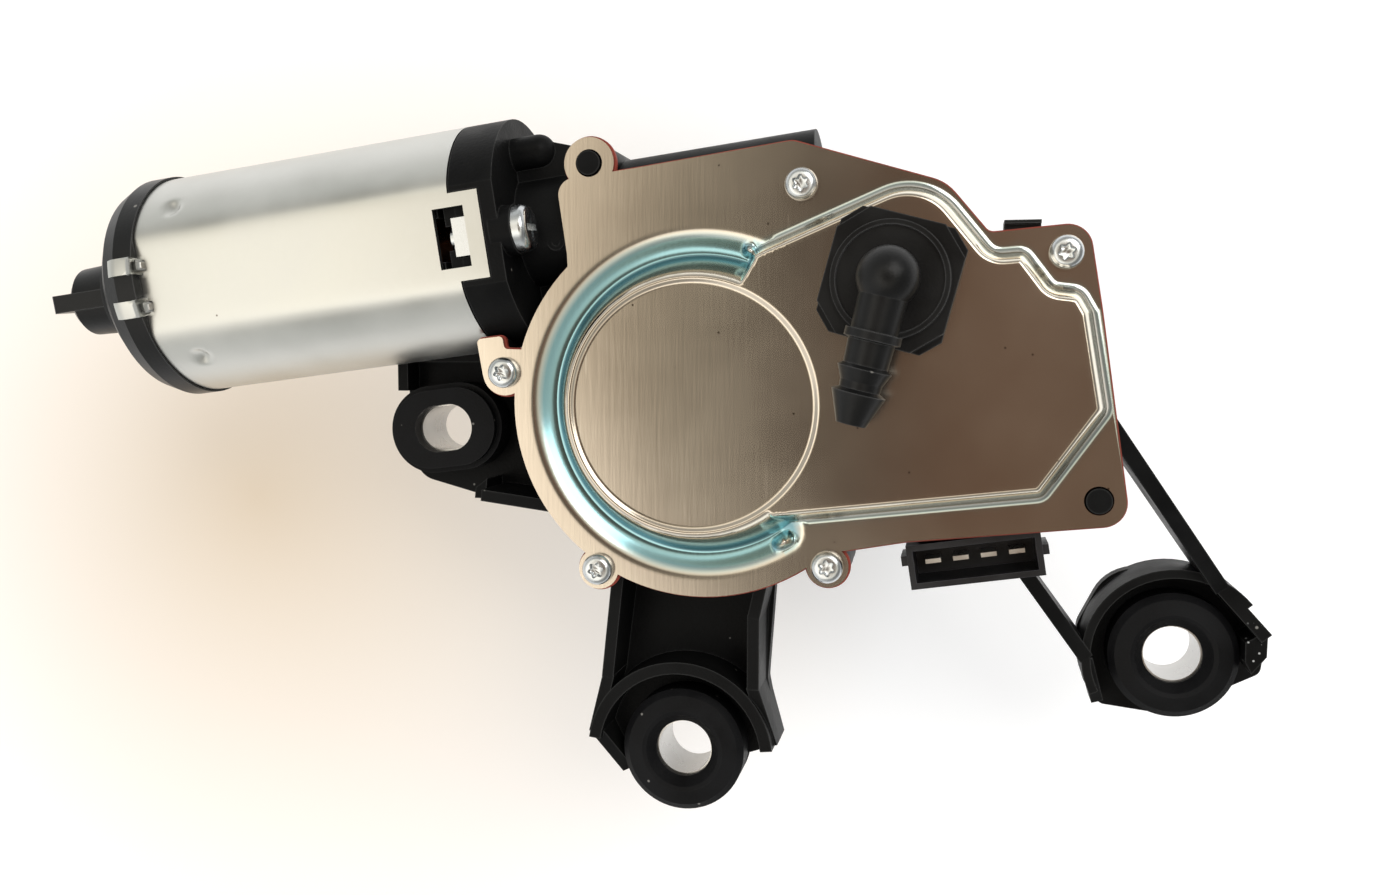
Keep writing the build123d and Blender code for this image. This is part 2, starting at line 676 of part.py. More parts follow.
def drive_bush():
    return tube(0, 0, 7.6 - fit, shaft_radius + fit, flange_near - 0.6, flange_near + 5.5)


def bush_retainer():
    ring = tube(0, 0, 9.4, shaft_radius + 1.2, flange_near - 3.3, flange_near - 2.6)
    return ring


def front_bush():
    return tube(0, 0, 5.5 - fit, front_journal + fit, worm_length / 2 + 3.2, worm_length / 2 + 8.2)


# Wheel and linkage


def worm_wheel():
    """Moulded wheel whose teeth lean with the worm's thread."""
    low = motor_level - wheel_face / 2
    high = motor_level + wheel_face / 2
    tip, root = wheel_radius + tooth_height, wheel_radius - tooth_height - 0.2
    slope = tan(radians(18.6))
    half_pitch = tooth_width / 2
    profile = [(root, half_pitch + (wheel_radius - root) * slope), (tip, half_pitch - (tip - wheel_radius) * slope)]
    points = []
    for k in range(wheel_teeth):
        middle = 2 * pi * k / wheel_teeth
        for radius, half in profile:
            points.append((radius * cos(middle - half / radius), radius * sin(middle - half / radius)))
        for radius, half in reversed(profile):
            points.append((radius * cos(middle + half / radius), radius * sin(middle + half / radius)))
    lean = degrees(gear_module / 2 / worm_radius * wheel_face / wheel_radius)
    gap = 90 + motor_turn + 180 / wheel_teeth
    teeth = make_face(Polyline(*points, close=True))
    bottom = Pos(0, 0, low) * Rot(0, 0, gap - lean / 2) * teeth
    top = Pos(0, 0, high) * Rot(0, 0, gap + lean / 2) * teeth
    wheel = loft([bottom, top], ruled=True)
    ring = wheel_radius - 4.5
    web_top = motor_level + 1.5
    wheel -= rod(0, 0, ring, low - 1, web_top - 3.0) + rod(0, 0, ring, web_top, high + 1)
    boss_top = gear_low - 0.9
    wheel += rod(0, 0, axle_radius + 2.6, low, boss_top)
    crank = (pin_x - wheel_x, pin_y - wheel_y)
    wheel += rod(*crank, pin_radius + 2.4, web_top - 3, boss_top)
    for k in range(8):
        wheel += Rot(0, 0, 45 * k + 10) * block(axle_radius + 2, ring + 0.4, -0.8, 0.8, low + 1.5, web_top - 2)
    wheel -= rod(0, 0, axle_radius + fit, low - 1, boss_top + 1)
    wheel -= rod(*crank, pin_radius + 0.05, web_top - 2, boss_top + 1)
    return Pos(wheel_x, wheel_y, 0) * wheel


def wheel_axle():
    return rod(wheel_x, wheel_y, axle_radius, floor_level - 1.5, gear_low - 1.2)


def wheel_washer():
    low = floor_level + 0.45
    return tube(wheel_x, wheel_y, 6.3, axle_radius + 0.1, low, motor_level - wheel_face / 2 - 0.1)


def crank_pin():
    return rod(pin_x, pin_y, pin_radius, gear_low - 0.6, gear_low + gear_thick + 0.1)


def sector_face():
    """Connecting rod in plan: eye on the crank pin, arm, and toothed sector round the sector pin."""
    facing = degrees(atan2(-sector_y, -sector_x))
    teeth = gear_outline(sector_module, sector_teeth, -1, sector_teeth_cut - 2)
    blade = make_face(Polyline((0, 0), *teeth, close=True))
    swing = Pos(sector_x, sector_y) * Rot(0, 0, facing) * blade
    arm_turn = degrees(atan2(pin_y - sector_y, pin_x - sector_x))
    middle = ((pin_x + sector_x) / 2, (pin_y + sector_y) / 2)
    bar = Pos(*middle) * Rot(0, 0, arm_turn) * Rectangle(rod_length, 7.4)
    face = swing + bar + round_post(sector_x, sector_y, 6.4) + round_post(pin_x, pin_y, 5.4)
    return face


def sector_rod():
    body = prism(sector_face(), gear_low, gear_low + gear_thick)
    body -= rod(pin_x, pin_y, pin_radius + fit, gear_low - 1, 6)
    return body - rod(sector_x, sector_y, pin_radius + fit, gear_low - 1, 6)


link_low = gear_low + gear_thick + play


def sector_pin():
    shape = rod(sector_x, sector_y, pin_radius, gear_low - 0.4, link_low + link_thick)
    return shape


def guide_link():
    link_turn = degrees(atan2(sector_y, sector_x))
    middle = (sector_x / 2, sector_y / 2)
    face = Pos(*middle) * Rot(0, 0, link_turn) * Rectangle(link_length, 8.0)
    face += round_post(0, 0, 6.6) + round_post(sector_x, sector_y, 5.4)
    plate = prism(face, link_low, link_low + link_thick)
    plate -= rod(0, 0, shaft_radius + 0.05, 0, 9)
    return plate - rod(sector_x, sector_y, pin_radius + fit, 0, 9)


def spindle_pinion():
    points = gear_outline(sector_module, pinion_teeth, 0, pinion_teeth - 1)
    facing = degrees(atan2(sector_y, sector_x)) + 180 / pinion_teeth
    face = Rot(0, 0, facing) * make_face(Polyline(*points, close=True))
    return prism(face, gear_low, gear_low + gear_thick) - rod(0, 0, spindle_radius + 0.01, -3, 6)


spindle_top = plateau_rise + 4.4


def output_spindle():
    seat = -arm_seat_depth
    thread_length = 9.0
    profile = [(water_bore, seat - thread_length), (3.4, seat - thread_length), (shaft_radius, seat - thread_length + 0.7),
               (shaft_radius, seat), (4.4, seat), (spindle_radius - fit, seat + 8.0), (spindle_radius - fit, -1.0),
               (spindle_radius, -1.0), (spindle_radius, gear_low + gear_thick + 0.05),
               (shaft_radius, gear_low + gear_thick + 0.05), (shaft_radius, link_low + link_thick + 0.2),
               (3.0, link_low + link_thick + 0.2), (3.0, spindle_top), (water_bore, spindle_top)]
    return turned(profile)


def spindle_bush(low, high):
    return tube(0, 0, 7.5 - fit, spindle_radius + 0.02, low, high)


def retaining_ring():
    ring = tube(0, 0, 7.6, spindle_radius + 0.02, -53.9, -52.9)
    return ring - block(0, 12, -1.6, 1.6, -55, -52)


# Electronics


def circuit_board():
    face = outline([(12.6, -31.0, 1), (12.6, 3.6, 1), (22.0, 3.6, 1), (24.0, -4.6, 1), (30.4, -5.4, 1),
                    (31.4, -30.0, 1), (25.0, -38.6, 1), (-1.4, -40.6, 1), (0.2, -31.0, 1)])
    return prism(face, board_level, board_level + board_thick)


def connector_body():
    shape = block(-11.8, 11.8, -4.0, 4.0, connector_low, mouth_level)
    shape -= block(-10.7, 10.7, -2.9, 2.9, connector_low + 2.0, mouth_level + 1)
    shape += block(-12.9, -11.7, 0.4, 2.2, -12.0, mouth_level - 0.4) + block(11.7, 12.9, -0.4, 1.4, -12.0, mouth_level - 0.4)
    shape += block(-10.0, 10.0, 3.9, 6.0, connector_low + 0.1, connector_low + 3.0)
    for k in range(4):
        x = (k - 1.5) * blade_pitch
        shape -= block(x - 1.45, x + 1.45, -0.45, 0.45, lead_level - 0.05, lead_level + 4)
        shape -= block(x - 1.45, x + 1.45, -0.45, 8, lead_level - 0.05, lead_level + 0.85)
    return connector_frame * shape


def connector_pocket():
    """Seat of the connector in the housing's side and the slot for its four leads."""
    pocket = block(-11.85, 11.85, -4.05, 4.05, connector_low - 0.05, 1)
    pocket += block(-10.1, 10.1, 3.8, 6.1, connector_low, connector_low + 3.1)
    pocket += block(-9.2, 9.2, 3.8, 12.0, lead_level - 0.1, lead_level + 1.0)
    return connector_frame * pocket


def terminal(k):
    x = (k - 1.5) * blade_pitch
    blade = block(x - 1.4, x + 1.4, -0.4, 0.4, lead_level, mouth_level - 5.2)
    blade += block(x - 1.4, x + 1.4, -0.4, 11.6, lead_level, lead_level + 0.8)
    return connector_frame * (blade + block(x - 1.4, x + 1.4, 10.8, 11.6, lead_level, board_level - 0.02))


def relay():
    return block(16.0, 28.0, -27.0, -12.0, -17.6, -9.0)


def capacitor():
    return rod(18.0, -5.0, 3.2, -17.0, -9.0)


def park_ring():
    top = motor_level + 1.5
    return tube(wheel_x, wheel_y, 26.0, 22.6, top, top + 0.35)


def park_contact(offset_y):
    """Spring finger from the board down to the park ring."""
    level = board_level + board_thick + 0.02
    y = -33.0 + offset_y
    finger = block(-14.6, 1.6, y - 0.9, y + 0.9, level, level + 0.35)
    return finger + block(-14.6, -14.1, y - 0.9, y + 0.9, motor_level + 1.5 + 0.42, level + 0.35)


# Washer inlet


nozzle_turn = -103.6


def nozzle_cap():
    base = plateau_rise
    square = Rot(0, 0, -15) * Rectangle(21.8, 21.8)
    cap = prism(square & Rot(0, 0, 30) * Rectangle(26.6, 26.6), base, base + 2.0)
    cap += prism(square & Rot(0, 0, 30) * Rectangle(24.4, 24.4), base + 2.0, base + 5.0)
    cap += tube(0, 0, 9.9, 9.0, base + 5.0, base + 6.4) + rod(0, 0, 9.4, base + 5.0, base + 5.8)
    cap += rod(0, 0, spindle_radius + 2.9, base - sheet, base)
    cap -= rod(0, 0, 3.0 + 0.1, base - 3, spindle_top + 0.2)
    cap -= rod(0, 0, 5.2, base - 3, base + 2.2)
    cap -= rod(0, 0, 3.3, base + 4.8, base + 8)
    return cap


def washer_elbow():
    base = plateau_rise + 4.8
    level = plateau_rise + 11.4
    ball = Pos(0, 0, level) * Sphere(5.2)
    neck = rod(0, 0, 3.2, base + 0.05, level)
    pipe = turned([(0, 0), (4.2, 0), (3.9, 9.0), (4.7, 9.0), (4.7, 10.4), (3.9, 10.6), (3.7, 14.6), (4.5, 15.2),
                   (3.5, 17.4), (3.4, 18.6), (4.5, 19.2), (2.5, 24.4), (0, 24.4)])
    shape = ball + neck + Pos(0, 0, level) * Rot(0, 0, nozzle_turn) * Rot(0, 90, 0) * pipe
    shape -= Pos(0, 0, level) * Rot(0, 0, nozzle_turn) * Rot(0, 90, 0) * rod(0, 0, 1.4, 0, 30)
    return shape - rod(0, 0, 1.4, base - 1, level)


def nozzle_seal():
    return tube(0, 0, 5.15, 3.05, plateau_rise - 0.9, plateau_rise + 2.15)


def cover_clip():
    return block(18.6, 24.8, 8.9, 10.6, -8.0, -2.0) + block(18.6, 24.8, 10.0, 10.6, -2.0, -0.6)


def spindle_seal():
    return tube(0, 0, 7.4, spindle_radius + 0.02, -51.9, -50.2)


def spindle_washer():
    return tube(0, 0, 9.4, spindle_radius + 0.1, -52.85, -52.05)


def motor_pair(make):
    return [along_motor(make(side)) for side in (-1, 1)]


pieces["gear_housing"] = gear_housing()
pieces["cover_plate"] = cover_plate()
pieces["cover_gasket"] = gasket_ring()
pieces["cover_screws"] = [cover_screw(x, y) for x, y in cover_screw_places]
pieces["motor_yoke"] = along_motor(motor_yoke())
pieces["yoke_nuts"] = motor_pair(yoke_nut)
pieces["motor_screws"] = motor_pair(motor_screw)
pieces["end_cap"] = along_motor(end_cap())
pieces["magnets"] = motor_pair(magnet)
pieces["armature_shaft"] = along_motor(armature_shaft())
pieces["armature_core"] = along_motor(armature_core())
pieces["windings"] = along_motor(windings())
pieces["commutator"] = along_motor(commutator())
pieces["brush_holder"] = along_motor(brush_holder())
pieces["brushes"] = motor_pair(brush)
pieces["brush_springs"] = motor_pair(brush_spring)
pieces["rear_bush"] = along_motor(rear_bush())
pieces["drive_bush"] = along_motor(drive_bush())
pieces["bush_retainer"] = along_motor(bush_retainer())
pieces["front_bush"] = along_motor(front_bush())
pieces["thrust_ball"] = along_motor(thrust_ball())
pieces["worm_wheel"] = worm_wheel()
pieces["wheel_axle"] = wheel_axle()
pieces["wheel_washer"] = wheel_washer()
pieces["crank_pin"] = crank_pin()
pieces["sector_rod"] = sector_rod()
pieces["guide_link"] = guide_link()
pieces["sector_pin"] = sector_pin()
pieces["spindle_pinion"] = spindle_pinion()
pieces["output_spindle"] = output_spindle()
pieces["spindle_bushes"] = [spindle_bush(-50.0, -40.0), spindle_bush(-29.0, -19.0)]
pieces["spindle_seal"] = spindle_seal()
pieces["spindle_washer"] = spindle_washer()
pieces["retaining_ring"] = retaining_ring()
pieces["round_grommets"] = [round_grommet(low_bush), round_grommet(right_bush)]
pieces["round_sleeves"] = [round_sleeve(low_bush), round_sleeve(right_bush)]
pieces["slot_grommet"] = slot_grommet()
pieces["slot_sleeve"] = slot_sleeve()
pieces["connector_body"] = connector_body()
pieces["terminals"] = [terminal(k) for k in range(4)]
pieces["circuit_board"] = circuit_board()
pieces["relay"] = relay()
pieces["capacitor"] = capacitor()
pieces["park_ring"] = park_ring()
pieces["park_contacts"] = [park_contact(k) for k in (-4.0, -1.0)]
pieces["nozzle_cap"] = nozzle_cap()
pieces["washer_elbow"] = washer_elbow()
pieces["nozzle_seal"] = nozzle_seal()
pieces["cover_clip"] = cover_clip()

# The frame's origin is on the spindle's axis at the foot of the wiper arm's seat
to_frame = Pos(0, 0, arm_seat_depth)
os.makedirs("parts", exist_ok=True)
for name, shape in pieces.items():
    solids = shape if isinstance(shape, list) else [shape]
    solids = [to_frame * solid for solid in solids]
    export_step(solids[0] if len(solids) == 1 else Compound(children=solids), f"parts/{name}.step")
print("spindle sweep", round(far_end["pinion"] - park["pinion"], 3))
print("link swing", round(far_end["link"] - park["link"], 3), "rod turn", round(far_end["rod"] - park["rod"], 3))
print("pin", pin_x, pin_y, "sector centre", sector_x, sector_y)
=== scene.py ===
import json
import math
import bmesh
import bpy
import numpy as np
from mathutils import Matrix, Vector
from mathutils.bvhtree import BVHTree
from mathutils.geometry import delaunay_2d_cdt


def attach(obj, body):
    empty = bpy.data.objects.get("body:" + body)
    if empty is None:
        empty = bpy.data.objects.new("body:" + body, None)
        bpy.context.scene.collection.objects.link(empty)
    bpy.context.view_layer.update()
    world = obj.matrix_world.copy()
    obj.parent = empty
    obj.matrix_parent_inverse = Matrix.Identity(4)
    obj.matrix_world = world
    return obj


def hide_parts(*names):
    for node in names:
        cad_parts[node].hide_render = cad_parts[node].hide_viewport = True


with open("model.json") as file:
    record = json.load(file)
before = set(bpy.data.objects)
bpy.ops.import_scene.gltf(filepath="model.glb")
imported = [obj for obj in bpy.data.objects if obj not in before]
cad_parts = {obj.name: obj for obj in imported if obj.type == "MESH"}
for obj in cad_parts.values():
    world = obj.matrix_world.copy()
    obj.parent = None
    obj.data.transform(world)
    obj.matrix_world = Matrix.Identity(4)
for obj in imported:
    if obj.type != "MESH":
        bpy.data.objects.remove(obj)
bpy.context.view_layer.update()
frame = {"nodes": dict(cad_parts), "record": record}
nodes = frame["nodes"]
record = frame["record"]
mm = 0.001
weldGap = 2e-6  # corners of a CAD node's loose triangles meet within this, m
joints = {joint["name"]: joint for joint in record["behaviour"]["joints"]}
coverLevel = 66.0  # top face of the cover's flange, mm
wheelX, wheelY = (v / mm for v in joints["wheel_turn"]["pos_m"][:2])
print("frame loaded with", len(nodes), "nodes")


def addNode(tree, kind, inputs=None, **settings):
    made = tree.nodes.new(kind)
    for name, value in settings.items():
        setattr(made, name, value)
    for name, value in (inputs or {}).items():
        if isinstance(value, bpy.types.NodeSocket):
            tree.links.new(value, made.inputs[name])
        else:
            made.inputs[name].default_value = value
    return made


def placeGroup(tree, group, **inputs):
    return addNode(tree, "ShaderNodeGroup", inputs, node_tree=group)


def newGroup(name, inputs, outputs):
    tree = bpy.data.node_groups.new(name, "ShaderNodeTree")
    for label, kind, value in inputs:
        tree.interface.new_socket(label, in_out="INPUT", socket_type=kind).default_value = value
    for label, kind in outputs:
        tree.interface.new_socket(label, in_out="OUTPUT", socket_type=kind)
    return tree, tree.nodes.new("NodeGroupInput").outputs, tree.nodes.new("NodeGroupOutput").inputs


def mixColour(tree, amount, first, second):
    mixed = addNode(tree, "ShaderNodeMix", data_type="RGBA")
    for socket, value in ((mixed.inputs[0], amount), (mixed.inputs[6], first), (mixed.inputs[7], second)):
        if isinstance(value, bpy.types.NodeSocket):
            tree.links.new(value, socket)
        else:
            socket.default_value = (*value, 1) if isinstance(value, tuple) and len(value) == 3 else value
    return mixed.outputs[2]


def mapRange(tree, value, given, wanted=(0.0, 1.0)):
    return addNode(tree, "ShaderNodeMapRange",
                   {"Value": value, "From Min": given[0], "From Max": given[1],
                    "To Min": wanted[0], "To Max": wanted[1]}).outputs["Result"]


def stretchedPlace(tree, stretch):  # the piece's own coordinates, scaled along each axis
    place = addNode(tree, "ShaderNodeTexCoord")
    return addNode(tree, "ShaderNodeVectorMath", {0: place.outputs["Object"], 1: stretch},
                   operation="MULTIPLY").outputs[0]


def makeGrainGroup():  # fine grain: a value and a normal
    tree, given, out = newGroup(
        "surfaceGrain",
        [("scale", "NodeSocketFloat", 900.0), ("stretch", "NodeSocketVector", (1, 1, 1)),
         ("strength", "NodeSocketFloat", 0.2), ("depth", "NodeSocketFloat", 0.0001)],
        [("value", "NodeSocketFloat"), ("normal", "NodeSocketVector")])
    noise = addNode(tree, "ShaderNodeTexNoise", {"Vector": stretchedPlace(tree, given["stretch"]),
                                                 "Scale": given["scale"], "Detail": 3.0, "Roughness": 0.55})
    bump = addNode(tree, "ShaderNodeBump", {"Strength": given["strength"], "Distance": given["depth"],
                                            "Height": noise.outputs["Fac"]})
    tree.links.new(noise.outputs["Fac"], out["value"])
    tree.links.new(bump.outputs["Normal"], out["normal"])
    return tree


def makeEdgeGroup():  # mask that is 1 on outside edges, where a pale highlight is painted on
    tree, given, out = newGroup(
        "paintedEdgeHighlight", [("radius", "NodeSocketFloat", 0.0005), ("gain", "NodeSocketFloat", 3.0)],
        [("mask", "NodeSocketFloat")])
    bevel = addNode(tree, "ShaderNodeBevel", {"Radius": given["radius"]}, samples=4)
    flat = addNode(tree, "ShaderNodeNewGeometry")
    dot = addNode(tree, "ShaderNodeVectorMath", {0: bevel.outputs["Normal"], 1: flat.outputs["Normal"]},
                  operation="DOT_PRODUCT")
    away = addNode(tree, "ShaderNodeMath", {0: 1.0, 1: dot.outputs["Value"]}, operation="SUBTRACT")
    gained = addNode(tree, "ShaderNodeMath", {0: away.outputs[0], 1: given["gain"]}, operation="MULTIPLY",
                     use_clamp=True)
    tree.links.new(gained.outputs[0], out["mask"])
    return tree


def makeBlotchGroup():  # slow change over a surface
    tree, given, out = newGroup(
        "slowBlotches",
        [("scale", "NodeSocketFloat", 60.0), ("low", "NodeSocketFloat", 0.3),
         ("high", "NodeSocketFloat", 0.4)],
        [("value", "NodeSocketFloat"), ("mask", "NodeSocketFloat")])
    place = addNode(tree, "ShaderNodeTexCoord")
    noise = addNode(tree, "ShaderNodeTexNoise", {"Vector": place.outputs["Object"], "Scale": given["scale"],
                                                 "Detail": 4.0}).outputs["Fac"]
    middle = (0.35, 0.65)  # the noise seldom leaves this range
    tree.links.new(mapRange(tree, noise, middle, (given["low"], given["high"])), out["value"])
    tree.links.new(mapRange(tree, noise, middle), out["mask"])
    return tree


def makeSpeckGroup():  # thin scatter of specks: dust, pits and scuffs
    tree, given, out = newGroup(
        "scatteredSpecks",
        [("scale", "NodeSocketFloat", 400.0), ("stretch", "NodeSocketVector", (1, 1, 1)),
         ("amount", "NodeSocketFloat", 0.1)], [("mask", "NodeSocketFloat")])
    cells = addNode(tree, "ShaderNodeTexVoronoi", {"Vector": stretchedPlace(tree, given["stretch"]),
                                                   "Scale": given["scale"]})
    tone = addNode(tree, "ShaderNodeSeparateColor", {0: cells.outputs["Color"]})
    rare = addNode(tree, "ShaderNodeMath", {0: tone.outputs[0], 1: given["amount"]}, operation="LESS_THAN")
    dot = mapRange(tree, cells.outputs["Distance"], (0.22, 0.12))  # 1 in the middle of a cell
    both = addNode(tree, "ShaderNodeMath", {0: rare.outputs[0], 1: dot}, operation="MULTIPLY")
    tree.links.new(both.outputs[0], out["mask"])
    return tree


grain = makeGrainGroup()
edgeHighlightGroup = makeEdgeGroup()
blotches = makeBlotchGroup()
specks = makeSpeckGroup()


def startMaterial(name):
    made = bpy.data.materials.new(name)
    made.use_nodes = True
    return made, made.node_tree, made.node_tree.nodes["Principled BSDF"]


def nearPoint(tree, centre, inner, outer):  # 1 inside the inner radius round a point, 0 beyond the outer one
    place = addNode(tree, "ShaderNodeTexCoord")
    gap = addNode(tree, "ShaderNodeVectorMath", {0: place.outputs["Object"], 1: centre}, operation="DISTANCE")
    return mapRange(tree, gap.outputs["Value"], (outer, inner))


def addSurface(tree, shader, look, depth):  # grain in the normal and slow change in the roughness
    fine = placeGroup(tree, grain, scale=look["grain"], stretch=look.get("stretch", (1, 1, 1)),
                      strength=look["bump"], depth=depth)
    slow = placeGroup(tree, blotches, scale=look["blotch"], low=look["rough"][0], high=look["rough"][1])
    tree.links.new(slow.outputs["value"], shader.inputs["Roughness"])
    tree.links.new(fine.outputs["normal"], shader.inputs["Normal"])
    return mixColour(tree, slow.outputs["mask"], look["dark"], look["light"])


def makePlastic(name, look):
    made, tree, shader = startMaterial(name)
    body = addSurface(tree, shader, look, 0.0002)
    edge = placeGroup(tree, edgeHighlightGroup, radius=look["edge"], gain=look["gain"])
    dust = placeGroup(tree, specks, scale=look.get("dustScale", 500.0), amount=look.get("dust", 0.01))
    # pale highlight painted along the outside edges
    body = mixColour(tree, edge.outputs["mask"], body, look["edgeHighlight"])
    body = mixColour(tree, dust.outputs["mask"], body, (0.2, 0.19, 0.17))
    if "scuff" in look:  # a spot rubbed pale
        scuff = look["scuff"]
        spot = nearPoint(tree, scuff["place"], scuff["inner"], scuff["outer"])
        chips = placeGroup(tree, specks, scale=900.0, stretch=(1, 1, 0.4), amount=0.55)
        pale = addNode(tree, "ShaderNodeMath", {0: spot, 1: chips.outputs["mask"]}, operation="MULTIPLY")
        body = mixColour(tree, pale.outputs[0], body, scuff["colour"])
    tree.links.new(body, shader.inputs["Base Color"])
    shader.inputs["Specular IOR Level"].default_value = look["gloss"]
    return made


def makeMetal(name, look):
    made, tree, shader = startMaterial(name)
    body = addSurface(tree, shader, look, 0.0001)
    pits = placeGroup(tree, specks, scale=800.0, amount=look.get("pits", 0.02))
    body = mixColour(tree, pits.outputs["mask"], body, (0.12, 0.10, 0.08))
    tree.links.new(body, shader.inputs["Base Color"])
    shader.inputs["Metallic"].default_value = look.get("metal", 1.0)
    return made


# each look's edgeHighlight is the pale colour painted on its outside edges as a highlight
plastics = {
    "housing_black": {"dark": (0.0045, 0.0045, 0.0045), "light": (0.008, 0.008, 0.0078),
                      "edgeHighlight": (0.045, 0.045, 0.043), "rough": (0.36, 0.5), "grain": 1500, "bump": 0.25,
                      "blotch": 90, "edge": 0.0005, "gain": 2.2, "gloss": 0.06, "dust": 0.006,
                      "dustScale": 620.0,
                      "scuff": {"place": (0.0672, -0.0686, 0.0425), "inner": 0.0030, "outer": 0.0080,
                                "colour": (0.42, 0.42, 0.40)}},
    "cap_black": {"dark": (0.0045, 0.0045, 0.0045), "light": (0.008, 0.008, 0.008),
                  "edgeHighlight": (0.09, 0.09, 0.088), "rough": (0.3, 0.42), "grain": 1800, "bump": 0.15,
                  "blotch": 80, "edge": 0.0004, "gain": 2.0, "gloss": 0.2, "dust": 0.004},
    "bush_rubber": {"dark": (0.0042, 0.0042, 0.0045), "light": (0.008, 0.008, 0.0085),
                    "edgeHighlight": (0.03, 0.03, 0.03), "rough": (0.42, 0.58), "grain": 2200, "bump": 0.3,
                    "blotch": 120, "edge": 0.0004, "gain": 1.0, "gloss": 0.09, "dust": 0.03,
                    "dustScale": 700.0},
    "gasket_rubber": {"dark": (0.20, 0.03, 0.018), "light": (0.30, 0.05, 0.03), "edgeHighlight": (0.34, 0.08, 0.05),
                      "rough": (0.5, 0.6), "grain": 2000, "bump": 0.2, "blotch": 150, "edge": 0.0002,
                      "gain": 1.0, "gloss": 0.3},
    "electric_black": {"dark": (0.006, 0.006, 0.007), "light": (0.012, 0.012, 0.014),
                       "edgeHighlight": (0.06, 0.06, 0.07), "rough": (0.3, 0.4), "grain": 1600, "bump": 0.1,
                       "blotch": 100, "edge": 0.0002, "gain": 2.0, "gloss": 0.4},
    "gear_white": {"dark": (0.66, 0.62, 0.50), "light": (0.76, 0.73, 0.63), "edgeHighlight": (0.8, 0.78, 0.7),
                   "rough": (0.4, 0.5), "grain": 1400, "bump": 0.1, "blotch": 80, "edge": 0.0003,
                   "gain": 1.0, "gloss": 0.5},
    "board_green": {"dark": (0.02, 0.10, 0.04), "light": (0.03, 0.14, 0.06), "edgeHighlight": (0.25, 0.25, 0.12),
                    "rough": (0.3, 0.4), "grain": 1500, "bump": 0.1, "blotch": 100, "edge": 0.0002,
                    "gain": 1.0, "gloss": 0.5},
    "carbon": {"dark": (0.015, 0.015, 0.015), "light": (0.03, 0.03, 0.03), "edgeHighlight": (0.06, 0.06, 0.06),
               "rough": (0.5, 0.7), "grain": 1800, "bump": 0.3, "blotch": 200, "edge": 0.0002,
               "gain": 1.0, "gloss": 0.4},
}

metals = {
    "zinc_sheet": {"dark": (0.50, 0.44, 0.37), "light": (0.58, 0.52, 0.44), "rough": (0.15, 0.20),
                   "grain": 260, "stretch": (6.0, 0.35, 1.0), "bump": 0.06, "blotch": 26},
    "yoke_steel": {"dark": (0.50, 0.50, 0.47), "light": (0.58, 0.58, 0.55), "rough": (0.30, 0.38),
                   "grain": 900, "bump": 0.05, "blotch": 55, "pits": 0.004},
    "fastener": {"dark": (0.50, 0.52, 0.53), "light": (0.60, 0.62, 0.63), "rough": (0.2, 0.3),
                 "grain": 1500, "bump": 0.05, "blotch": 300, "pits": 0.0},
    "steel": {"dark": (0.52, 0.51, 0.49), "light": (0.63, 0.62, 0.60), "rough": (0.25, 0.36),
              "grain": 1200, "bump": 0.05, "blotch": 120},
    "contact_metal": {"dark": (0.62, 0.60, 0.56), "light": (0.74, 0.72, 0.68), "rough": (0.25, 0.35),
                      "grain": 1500, "bump": 0.04, "blotch": 200},
    "bronze": {"dark": (0.42, 0.28, 0.14), "light": (0.55, 0.38, 0.20), "rough": (0.4, 0.55),
               "grain": 2200, "bump": 0.2, "blotch": 200},
    "copper": {"dark": (0.60, 0.27, 0.14), "light": (0.74, 0.36, 0.20), "rough": (0.25, 0.4),
               "grain": 1500, "bump": 0.1, "blotch": 200},
    "ferrite": {"dark": (0.05, 0.05, 0.055), "light": (0.09, 0.09, 0.095), "rough": (0.5, 0.6),
                "grain": 1500, "bump": 0.2, "blotch": 150, "metal": 0.4},
    "core_steel": {"dark": (0.25, 0.25, 0.25), "light": (0.38, 0.38, 0.38), "rough": (0.4, 0.5),
                   "grain": 2500, "bump": 0.2, "blotch": 200},
}

materials = {name: makePlastic(name, look) for name, look in plastics.items()}
materials.update({name: makeMetal(name, look) for name, look in metals.items()})
for entry in record["subparts"]:
    carried = nodes[entry["node"]].data.materials
    carried.clear()
    carried.append(materials[entry["material_slot"]])
print("materials:", len(materials))


def newObject(name, data):
    obj = bpy.data.objects.new(name, data)
    bpy.context.collection.objects.link(obj)
    return obj


def newMesh(name, points, faces):
    mesh = bpy.data.meshes.new(name)
    mesh.from_pydata([tuple(p) for p in points], [], faces)
    mesh.update()
    return mesh


def evaluatedMesh(obj):
    return bpy.data.meshes.new_from_object(obj.evaluated_get(bpy.context.evaluated_depsgraph_get()))


def weldedCopy(obj):  # a CAD node's loose triangles as one joined shell
    shell = bmesh.new()
    shell.from_mesh(obj.data)
    bmesh.ops.remove_doubles(shell, verts=shell.verts, dist=weldGap)
    return shell


def finishSheet(mesh, outwardAt):  # spare points go, faces turn outwards and are shaded smooth
    sheet = bmesh.new()
    sheet.from_mesh(mesh)
    bmesh.ops.delete(sheet, geom=[v for v in sheet.verts if not v.link_faces], context="VERTS")
    for face in sheet.faces:
        if face.normal.dot(outwardAt(face)) < 0:
            face.normal_flip()
        face.smooth = True
    sheet.to_mesh(mesh)
    sheet.free()


